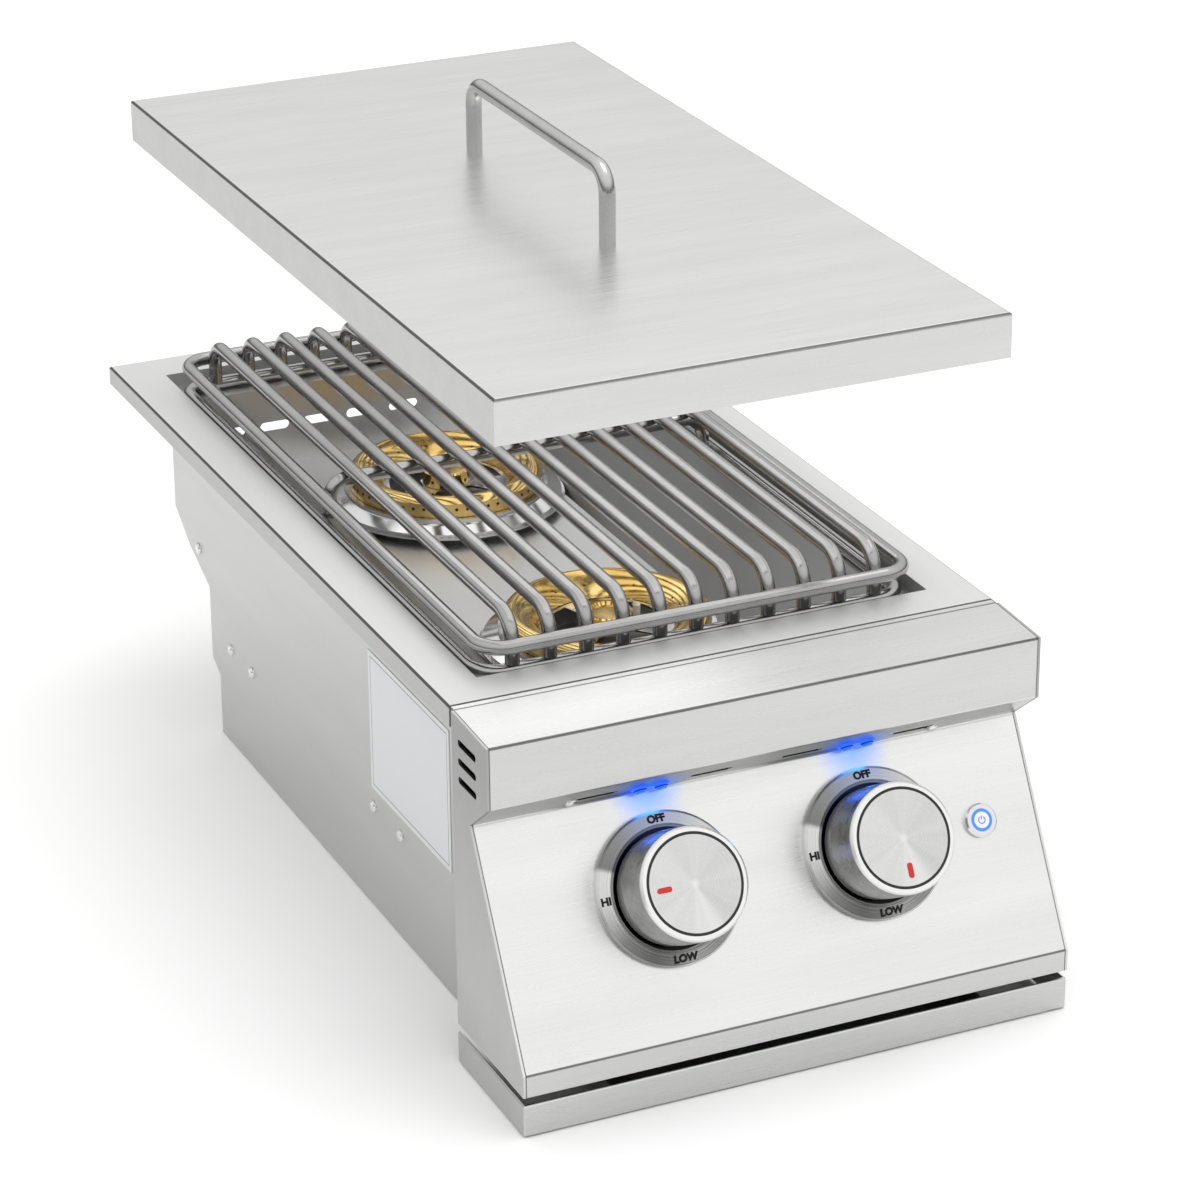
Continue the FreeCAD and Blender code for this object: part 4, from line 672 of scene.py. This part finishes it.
def make_knob_face(side):
    """A spun disc: rings about the knob's axis, with painted highlights that fan out."""
    metal = Shader(side + " knob face", (0.62, 0.62, 0.61), 1.0, 0.30, Anisotropic=0.7)
    _, radius, _, spin = around_axis(metal, side)
    rings = metal.rings(radius)
    # Painted highlights that fan out round the axis
    highlight_fan = metal.noise(spin, (1.6, 1.6, 1.6), 2.0)
    spun = metal.add(metal.times(rings, 0.28), metal.times(highlight_fan, 0.72))
    colours = metal.ramp(spun, [(0.34, (0.60, 0.60, 0.595)), (0.66, (0.75, 0.75, 0.74))])
    centre = metal.ranged(radius, 0.0, 0.004, 0.6, 0.0, True)
    metal.set("Base Color", metal.mix(centre, colours, (0.88, 0.88, 0.87)))
    metal.worn(rings, 0.26, 0.34)
    metal.set("Tangent", spin)
    metal.bump(rings, 0.03)
    paint(metal, side + "_knob_face")


def make_knob_shell(side):
    """The knob's shell: darker toward the face as painted shade, and a band and chamfer at the top lighter,
    partly its polished finish and partly a painted highlight.
    """
    metal = Shader(side + " knob shell", (0.5, 0.5, 0.495), 0.7, 0.32)
    height, _, _, _ = around_axis(metal, side)
    rings = metal.rings(height, SHELL_RING_PITCH)
    # Painted shade low on the shell, and a painted highlight on the chamfer
    level = metal.add(metal.ranged(height, SHELL_LOW, SHELL_HIGH, 0.0, 0.9), metal.times(rings, 0.1))
    metal.set("Base Color", metal.ramp(level, [(0.05, (0.45, 0.45, 0.45)), (0.35, (0.50, 0.50, 0.495)),
                                               (0.90, (0.50, 0.50, 0.495)), (0.95, (0.84, 0.84, 0.83))]))
    metal.worn(rings, 0.24, 0.36)
    paint(metal, side + "_knob_shell")


def make_bezel(side):
    """The bezel: dark spun steel with painted highlights and shade that fan round the axis, and the well
    round the knob painted black as shade.
    """
    metal = Shader(side + " bezel", (0.34, 0.34, 0.335), 1.0, 0.27, Anisotropic=0.7)
    _, radius, turn, spin = around_axis(metal, side)
    rings = metal.rings(radius)
    # Painted highlights and shade that fan round the axis
    share = metal.ranged(turn, -math.pi, math.pi, 0.0, 1.0)
    highlight_fan = metal.ramp(share, [(place, (level, level, level * 0.985)) for place, level in BEZEL_HIGHLIGHT_FAN])
    ringed = metal.ramp(rings, [(0.3, (0.78, 0.78, 0.78)), (0.7, (1.0, 1.0, 1.0))])
    # The lamps' blue light painted on the bezel's top as colour and glow
    glow = painted_lamp_glow(metal)
    tinted = metal.mix(metal.times(glow, 0.8), metal.vector("MULTIPLY", highlight_fan, ringed), BEZEL_PAINTED_GLOW)
    # The well round the knob painted nearly black as shade
    well_shade = metal.ranged(radius, WELL_RADIUS + WELL_FADE[0], WELL_RADIUS + WELL_FADE[1], 1.0, 0.0)
    metal.set("Base Color", metal.mix(well_shade, tinted, NEAR_BLACK))
    metal.worn(rings, 0.22, 0.34)
    metal.set("Tangent", spin)
    metal.bump(rings, 0.15)
    metal.paint_glow(glow, 0.10)
    paint(metal, side + "_bezel")


# Knurled sleeves

def on_knob(base, radius, turn, height):
    """A point round a knob's axis: its radius, its turn in radians and its height over the face."""
    across = RIGHTWARD * math.cos(turn) + FACE_UP * math.sin(turn)
    return base + across * radius + FACE_NORMAL * height


def knurl_radius(row, column):
    """The sleeve's radius: a diamond point on every second place, a valley on the rest."""
    is_point = (row + column) % 2 == 0 and 0 < row < KNURL_ROWS
    return KNURL_PEAK_RADIUS if is_point else KNURL_VALLEY_RADIUS


def knurl_points(base):
    """The outer rows from low to high, and then the inner wall's lower and upper edge."""
    points = []
    for row in range(KNURL_ROWS + 1):
        height = KNURL_LOW + (KNURL_HIGH - KNURL_LOW) * row / KNURL_ROWS
        for column in range(KNURL_COLUMNS):
            turn = circle_turn(column, KNURL_COLUMNS)
            points.append(on_knob(base, knurl_radius(row, column), turn, height))
    for height in (KNURL_LOW, KNURL_HIGH):
        for column in range(KNURL_COLUMNS):
            points.append(on_knob(base, KNURL_INNER_RADIUS, circle_turn(column, KNURL_COLUMNS), height))
    return points


def knurl_cell(row, column):
    """Two triangles that meet along the valleys between two diamond points."""
    after = (column + 1) % KNURL_COLUMNS
    low_left = row * KNURL_COLUMNS + column
    low_right = row * KNURL_COLUMNS + after
    high_left = low_left + KNURL_COLUMNS
    high_right = low_right + KNURL_COLUMNS
    if (row + column) % 2 == 0:
        return [(low_left, low_right, high_left), (low_right, high_right, high_left)]
    return [(low_left, low_right, high_right), (low_left, high_right, high_left)]


def knurl_faces():
    """The sleeve's outer cells, its two end faces and its inner wall."""
    faces = []
    top = KNURL_ROWS * KNURL_COLUMNS
    inner_low = top + KNURL_COLUMNS
    inner_top = inner_low + KNURL_COLUMNS
    for column in range(KNURL_COLUMNS):
        after = (column + 1) % KNURL_COLUMNS
        for row in range(KNURL_ROWS):
            faces.extend(knurl_cell(row, column))
        faces.append((inner_low + column, inner_low + after, after, column))
        faces.append((top + column, top + after, inner_top + after, inner_top + column))
        faces.append((inner_top + column, inner_top + after, inner_low + after, inner_low + column))
    return faces


def make_knurls():
    """The knurled sleeve round each knob: rows of small diamond points between two plain edges."""
    metal = Shader("knurl steel", (0.35, 0.35, 0.345), 1.0, 0.30)
    wear = metal.even_noise(160)
    metal.set("Base Color", metal.ramp(wear, [(0.3, (0.32, 0.32, 0.315)), (0.7, (0.38, 0.38, 0.375))]))
    metal.worn(wear, 0.24, 0.36)
    for side in SIDES:
        name = side + "_knurl"
        mesh = new_mesh(name, knurl_points(knob_base(side)), knurl_faces())
        add_piece(name, mesh, metal, side + "_knob")


# Burner heads

def turned_loops(profile, foot):
    """The points of a turned form on its foot, and the numbers of the points of each loop."""
    points = []
    loops = []
    for radius, height in profile:
        count = TURNED_SIDES if radius else 1
        loops.append(range(len(points), len(points) + count))
        for number in range(count):
            turn = circle_turn(number, TURNED_SIDES)
            offset = Vector((radius * math.cos(turn), radius * math.sin(turn), height))
            points.append(foot + offset / MILLIMETRES)
    return points, loops


def turned_faces(loops):
    """Faces between each loop and the next; a loop of one point lies on the axis."""
    faces = []
    for first, second in zip(loops, loops[1:] + loops[:1]):
        if len(first) == len(second) == 1:
            continue
        for number in range(TURNED_SIDES):
            after = (number + 1) % TURNED_SIDES
            corners = [first[number % len(first)], first[after % len(first)],
                       second[after % len(second)], second[number % len(second)]]
            faces.append(list(dict.fromkeys(corners)))
    return faces


def turned_piece(name, profile, foot, metal, body, node):
    """A smooth turned piece that stands on foot and replaces a node."""
    points, loops = turned_loops(profile, foot)
    mesh = new_mesh(name, points, turned_faces(loops))
    mesh.polygons.foreach_set("use_smooth", [True] * len(mesh.polygons))
    mesh.set_sharp_from_angle(angle=SHARP_ANGLE)
    piece = add_piece(name, mesh, metal, body)
    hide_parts(node)


def plug_points(centre, outward, radius):
    """The corners of a short round plug that stands along outward."""
    across = Vector((-outward.y, outward.x, 0)).normalized()
    up = outward.cross(across)
    points = []
    for end in (-PLUG_DEPTH, PLUG_DEPTH / 4):
        for number in range(PLUG_SIDES):
            turn = circle_turn(number, PLUG_SIDES)
            aside = across * (radius * math.cos(turn)) + up * (radius * math.sin(turn))
            points.append(centre + outward * end + aside)
    return points


def plug_faces(start):
    """The two ends and the sides of a plug whose points begin at start."""
    low = range(start, start + PLUG_SIDES)
    high = range(start + PLUG_SIDES, start + PLUG_SIDES * 2)
    faces = [list(reversed(low)), list(high)]
    for number in range(PLUG_SIDES):
        after = (number + 1) % PLUG_SIDES
        faces.append([low[number], low[after], high[after], high[number]])
    return faces


def port_row(name, foot, rows, metal, body):
    """The mouths of the gas ports in a turned piece, as dark plugs of painted shade."""
    points = []
    faces = []
    for radius, height, tilt, port_radius, count in rows:
        for number in range(count):
            turn = circle_turn(number + 0.5, count)
            ray = Vector((math.cos(turn), math.sin(turn), 0))
            outward = (ray * math.cos(tilt) + UPWARD * math.sin(tilt)).normalized()
            centre = foot + (ray * radius + UPWARD * height) / MILLIMETRES
            faces.extend(plug_faces(len(points)))
            points.extend(plug_points(centre, outward, port_radius / MILLIMETRES))
    add_piece(name, new_mesh(name, points, faces), metal, body)


def make_brass():
    """Polished brass, browner in places."""
    brass = Shader("brass", BRASS, 1.0, 0.13)
    place = brass.place()
    tone = brass.noise(place, (30, 30, 60))
    brass.set("Base Color", brass.ramp(tone, [(0.35, BRASS_DARK), (0.65, BRASS_LIGHT)]))
    brass.worn(brass.noise(place, (300, 300, 900), 2.0), 0.09, 0.18)
    return brass


def make_burner_heads():
    """The brass rings and caps, with the mouths of their ports painted dark as shade."""
    brass = make_brass()
    # The ports' mouths painted dark as the shade inside the holes
    port_shade = make_plain("port mouth shade", (0.03, 0.018, 0.008), 0.6, 0.2)
    for end in ("front", "rear"):
        for part, profile, ports in (("ring", RING_PROFILE, RING_PORTS), ("cap", CAP_PROFILE, CAP_PORTS)):
            body = "%s_%s" % (end, part)
            node = "%s_burner_%s" % (end, part)
            foot = burner_foot(node)
            turned_piece(body + "_brass", profile, foot, brass, body, node)
            port_row(body + "_ports", foot, ports, port_shade, body)


# Materials of the other nodes

def make_lid_steel():
    """The lid: grain along X, and lines of painted shade along its top edges."""
    metal, place, colours = brushed_steel("lid steel", (0.76, 0.76, 0.75), 0.31, X, spread=0.045,
                                          facing_shade=(0.84, 0.64, 0.6))
    metal.set("Base Color", painted_shade_edges(metal, place, colours, pan_edges("lid_shell")))
    paint(metal, "lid_shell")


def make_flange_steel():
    """The flange: a duller finish, so that it mirrors the grate less, and lines of painted shade along its
    top edges.
    """
    metal, place, colours = brushed_steel("flange steel", (0.665, 0.665, 0.655), 0.44, Y, spread=0.035)
    metal.shader.inputs["Metallic"].default_value = 0.6
    metal.set("Base Color", painted_shade_edges(metal, place, colours, pan_edges("top_flange"), 0.9))
    paint(metal, "top_flange")


def make_cheek_steel():
    """The cheeks: upright grain, and painted shade that darkens them toward the top."""
    metal, place, colours = brushed_steel("cheek steel", (0.78, 0.78, 0.775), 0.32, Z, spread=0.035,
                                          facing_shade=(0.8, 0.70, 0.6))
    # Painted shade toward the top of the cheek
    top_shade = metal.ranged(metal.dot(place, UPWARD), 0.06, 0.21, 0.0, 0.42)
    metal.set("Base Color", metal.mix(top_shade, colours, BLACK))
    paint(metal, "left_cheek", "right_cheek")


def make_sheet_steels():
    """The body's panels, the tray's front, the firebox, the plain sheets inside, and the bulkhead painted
    nearly black as shade.
    """
    body, _, _ = brushed_steel("body steel", (0.76, 0.76, 0.755), 0.33, Y, spread=0.035,
                               facing_shade=(0.8, 0.70, 0.6))
    strip, _, _ = brushed_steel("strip steel", (0.80, 0.80, 0.79), 0.30, X, spread=0.045,
                                facing_shade=(0.72, 0.62, 0.6))
    # The liner's sideways walls much darker: painted shade
    liner, _, _ = brushed_steel("liner steel", (0.87, 0.87, 0.87), 0.34, Y, spread=0.02, bump=0.04,
                                facing_shade=(0.8, 0.28, 0.6))
    sheet, _, _ = brushed_steel("plain sheet", (0.60, 0.60, 0.60), 0.42, X, spread=0.06, bump=0.1)
    # The front bulkhead behind the fascia, painted nearly black as shade
    shade_sheet, _, _ = brushed_steel("painted shade sheet", (0.10, 0.10, 0.10), 0.5, X, spread=0.06, bump=0.1)
    paint(body, "left_side_panel", "right_side_panel", "base_pan")
    paint(strip, "drip_tray_front")
    paint(liner, "firebox_liner")
    paint(sheet, "rear_panel", "tray_rails", "drip_tray")
    paint(shade_sheet, "front_bulkhead")


def make_bars_and_castings():
    """The grate, the handle and the rougher metal parts."""
    paint(satin_rod("grate steel", (0.375, 0.373, 0.367), 0.19), "grate_top_loop", "grate_lower_loop",
          "grate_rods", "grate_cross_rod")
    paint(satin_rod("handle steel", (0.49, 0.488, 0.48), 0.22), "lid_handle")
    paint(cast_metal("casting", (0.45, 0.45, 0.45), 0.55), "front_burner_base", "rear_burner_base",
          "left_valve", "right_valve")
    paint(cast_metal("tube steel", (0.6, 0.6, 0.6), 0.40, 500.0), "front_mixer_tube", "rear_mixer_tube",
          "gas_manifold")


def make_polished_metals():
    """Brass, chrome and screws."""
    paint(polished("rough brass", BRASS, 0.14), "front_burner_ring", "rear_burner_ring",
          "front_burner_cap", "rear_burner_cap")
    paint(polished("plain brass", (0.75, 0.52, 0.20), 0.28), "orifices", "left_valve_stem",
          "right_valve_stem", "inlet_fitting")
    paint(polished("bowl chrome", (0.64, 0.64, 0.64), 0.10, 0.12, 40.0), "front_burner_bowl",
          "rear_burner_bowl")
    paint(polished("ring chrome", (0.72, 0.72, 0.72), 0.18), "button_ring")
    paint(polished("screw steel", (0.74, 0.74, 0.74), 0.20), "housing_screws", "lid_handle_screws",
          "left_push_collar", "right_push_collar")


def make_plastics():
    """Black plastic, the red pointers, the button's cap and the ceramic of the electrodes."""
    paint(make_plain("black plastic", NEAR_BLACK, 0.38, 0.3), "left_knob_inset", "right_knob_inset",
          "lamp_housings", "igniter_module", "button_switch")
    paint(make_plain("red pointer", (0.60, 0.015, 0.015), 0.35, 0.1), "left_knob_pointer",
          "right_knob_pointer")
    paint(make_plain("button cap", (0.92, 0.93, 0.96), 0.22, 0.02), "button_cap")
    paint(make_plain("ceramic", (0.85, 0.84, 0.80), 0.25, 0.04), "igniter_electrodes")


def make_lit_plastics():
    """The lamps' lenses and the light ring of the power button."""
    paint(make_plain("lamp lens", LAMP_BLUE, 0.15, Emission_Color=(0.02, 0.14, 1.0, 1),
                     Emission_Strength=0.8), "lamp_lenses")
    paint(make_plain("button light", (0.03, 0.12, 0.9), 0.2, Emission_Color=(0.03, 0.14, 1.0, 1),
                     Emission_Strength=1.3), "button_light")


def make_blank_plate():
    """A blank foil plate with a thin printed frame line."""
    foil = Shader("blank plate", FOIL, 0.35, 0.42)
    low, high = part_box("rating_plate")
    away = foil.away_from(middle("rating_plate"))
    from_side = foil.minus((high[Y] - low[Y]) / 2, foil.absolute(foil.dot(away, BACKWARD)))
    from_top = foil.minus((high[Z] - low[Z]) / 2, foil.absolute(foil.dot(away, UPWARD)))
    off_line = off(foil, foil.smaller(from_side, from_top), PLATE_LINE_INSET)
    line = foil.ranged(off_line, *PLATE_LINE_FADE, 1.0, 0.0)
    foil.set("Base Color", foil.mix(line, FOIL, FOIL_LINE))
    paint(foil, "rating_plate")


def make_materials():
    """A material for every node of the model."""
    make_panel_steel()
    for side in SIDES:
        make_knob_face(side)
        make_knob_shell(side)
        make_bezel(side)
    make_lid_steel()
    make_flange_steel()
    make_cheek_steel()
    make_sheet_steels()
    make_bars_and_castings()
    make_polished_metals()
    make_plastics()
    make_lit_plastics()
    make_blank_plate()


# Lettering and marks

def make_word(side, word, toward, ink):
    """A word on the sloped top of a bezel, toward one side of the knob, tipped to lie on it."""
    name = "%s_word_%s" % (side, word.lower())
    data = bpy.data.curves.new(name, "FONT")
    data.body = word
    data.size = WORD_SIZE
    data.align_x = "CENTER"
    data.align_y = "CENTER"
    data.extrude = WORD_DEPTH
    data.offset = WORD_WEIGHT
    data.resolution_u = 4
    outward = (RIGHTWARD * toward[0] + FACE_UP * toward[1]).normalized()
    normal = (FACE_NORMAL + outward * BEZEL_SLOPE).normalized()
    up = (FACE_UP - normal * FACE_UP.dot(normal)).normalized()
    height = BEZEL_HEIGHT - (WORD_RADIUS - WELL_RADIUS - BEZEL_LIP) * BEZEL_SLOPE
    place = knob_base(side) + outward * WORD_RADIUS + FACE_NORMAL * (height + WORD_LIFT)
    add_piece(name, data, ink, "housing", on_slant(place, up.cross(normal), up))


def make_words():
    """OFF above, HI at the left of and LOW below each knob."""
    ink = make_plain("dial ink", (0.012, 0.012, 0.014), 0.7, 0.2, Specular_IOR_Level=0.2)
    for side in SIDES:
        make_word(side, "OFF", (0, 1), ink)
        make_word(side, "HI", (-1, 0), ink)
        make_word(side, "LOW", (0, -1), ink)


def make_line(name, points, thickness, shader, body, matrix, closed=False):
    """A round line through points on a plane."""
    data = bpy.data.curves.new(name, "CURVE")
    data.dimensions = "3D"
    data.bevel_depth = thickness / 2
    data.bevel_resolution = 3
    data.use_fill_caps = True
    spline = data.splines.new("POLY")
    spline.points.add(len(points) - 1)
    for point, (x, y) in zip(spline.points, points):
        point.co = (x, y, 0, 1)
    spline.use_cyclic_u = closed
    add_piece(name, data, shader, body, matrix)


def arc_points(radius, first, last, centre_x=0):
    """Points along an arc, from one angle in degrees to another."""
    points = []
    for number in range(ARC_STEPS + 1):
        angle = math.radians(first + (last - first) * number / ARC_STEPS)
        points.append((centre_x + radius * math.cos(angle), radius * math.sin(angle)))
    return points


def make_power_mark():
    """The lit mark on the button: an open ring and an upright bar."""
    shader = make_plain("mark blue", (0.10, 0.16, 0.75), 0.3, Emission_Color=(0.10, 0.18, 0.9, 1),
                        Emission_Strength=0.35)
    matrix = on_slant(button_top())
    for name, points in (("power_ring", arc_points(MARK_RADIUS, *MARK_ANGLES)), ("power_bar", MARK_BAR)):
        make_line(name, points, MARK_THICKNESS, shader, "button", matrix)


def make_lamp_trims():
    """A dark rim round the top of each dome of the lamps' lenses."""
    shader = make_plain("lamp rim", (0.0, 0.006, 0.06), 0.3)
    up = UNDER_NORMAL.cross(RIGHTWARD)
    for side in SIDES:
        matrix = on_slant(lamp_place(side) + UNDER_NORMAL * (DOME_RISE - RIM_BELOW_DOME), RIGHTWARD, up)
        for number, x in enumerate((-DOME_OFFSET, DOME_OFFSET)):
            points = arc_points(DOME_RADIUS, 0, 360, x)[:-1]
            make_line("%s_lamp_rim_%d" % (side, number), points, RIM_THICKNESS, shader, "housing",
                      matrix, closed=True)


# Stage, lights and camera

def make_floor():
    """A white floor just under the model."""
    bpy.ops.mesh.primitive_plane_add(size=FLOOR_SIZE, location=(0, 0, -FLOOR_DROP))
    floor = bpy.context.object
    floor.name = "floor"
    floor.data.materials.append(make_plain("floor white", (0.96, 0.96, 0.96), 0.9).material)


def make_world():
    """A studio sky: dark along the horizon, white above it, and brightest before the burner."""
    world = bpy.data.worlds.new("studio")
    world.use_nodes = True
    sky = Nodes(world.node_tree)
    background = sky.tree.nodes["Background"]
    direction = sky.node("TexCoord").outputs["Generated"]
    _, _, height = sky.split(direction)
    stops = [(position, (level, level, level * SKY_BLUE_SHARE)) for position, level in SKY_STOPS]
    lift = sky.ranged(sky.dot(direction, SKY_BRIGHT_SIDE), *SKY_SIDE_RANGE, 1.0, SKY_LIFT)
    sky.fill(background.inputs["Color"], sky.ramp(height, stops))
    sky.fill(background.inputs["Strength"], lift)
    bpy.context.scene.world = world


def area_light(name, place, aim, size, power, colour=(1, 1, 1)):
    """A soft rectangular light at place, turned to aim."""
    data = bpy.data.lights.new(name, "AREA")
    data.shape = "RECTANGLE"
    data.size, data.size_y = size
    data.energy = power
    data.color = colour
    light = bpy.data.objects.new(name, data)
    bpy.context.scene.collection.objects.link(light)
    light.location = place
    light.rotation_euler = (Vector(aim) - Vector(place)).to_track_quat("-Z", "Y").to_euler()
    return light


def make_lid_fill():
    """A soft light under the lid that stands for the light its shiny underside throws back."""
    low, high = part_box("lid_shell")
    under = Vector(((low[X] + high[X]) / 2, (low[Y] + high[Y]) / 2, low[Z] - FILL_GAP))
    fill = area_light("fill under the lid", under, under - UPWARD, FILL_SIZE, FILL_POWER)
    fill.visible_camera = False
    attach(fill, "lid")


def make_lights():
    """The sky, the key light over the burner, the fill under the lid and the lamps' own light."""
    make_world()
    area_light("key", KEY_PLACE, KEY_AIM, KEY_SIZE, KEY_POWER)
    make_lid_fill()
    for side in SIDES:
        place = lamp_place(side) + UNDER_NORMAL * (DOME_RISE + LAMP_LIGHT_GAP)
        aim = knob_base(side) + FACE_NORMAL * LAMP_LIGHT_AIM
        area_light(side + " lamp light", place, aim, LAMP_LIGHT_SIZE, LAMP_LIGHT_POWER, LAMP_LIGHT_COLOUR)


def camera_turn():
    """The camera's turn from its yaw, pitch and roll."""
    ahead = Vector((math.sin(CAMERA_YAW) * math.cos(CAMERA_PITCH),
                    math.cos(CAMERA_YAW) * math.cos(CAMERA_PITCH), -math.sin(CAMERA_PITCH)))
    level = Vector((math.cos(CAMERA_YAW), -math.sin(CAMERA_YAW), 0))
    upright = level.cross(ahead)
    right = level * math.cos(CAMERA_ROLL) + upright * math.sin(CAMERA_ROLL)
    up = upright * math.cos(CAMERA_ROLL) - level * math.sin(CAMERA_ROLL)
    return Matrix((right, up, -ahead)).transposed().to_4x4()


def make_camera():
    """The camera of the photograph."""
    data = bpy.data.cameras.new("camera")
    data.sensor_width = SENSOR_MILLIMETRES
    data.lens = FOCAL_PIXELS / FRAME_PIXELS * SENSOR_MILLIMETRES
    data.shift_x = (FRAME_PIXELS / 2 - PRINCIPAL[X]) / FRAME_PIXELS
    data.shift_y = (PRINCIPAL[Y] - FRAME_PIXELS / 2) / FRAME_PIXELS
    camera = bpy.data.objects.new("camera", data)
    bpy.context.scene.collection.objects.link(camera)
    camera.matrix_world = Matrix.Translation(CAMERA_PLACE) @ camera_turn()
    bpy.context.scene.camera = camera


bpy.context.scene.view_settings.view_transform = "Standard"
make_materials()
make_knurls()
make_burner_heads()
make_words()
make_power_mark()
make_lamp_trims()
make_floor()
make_lights()
make_camera()
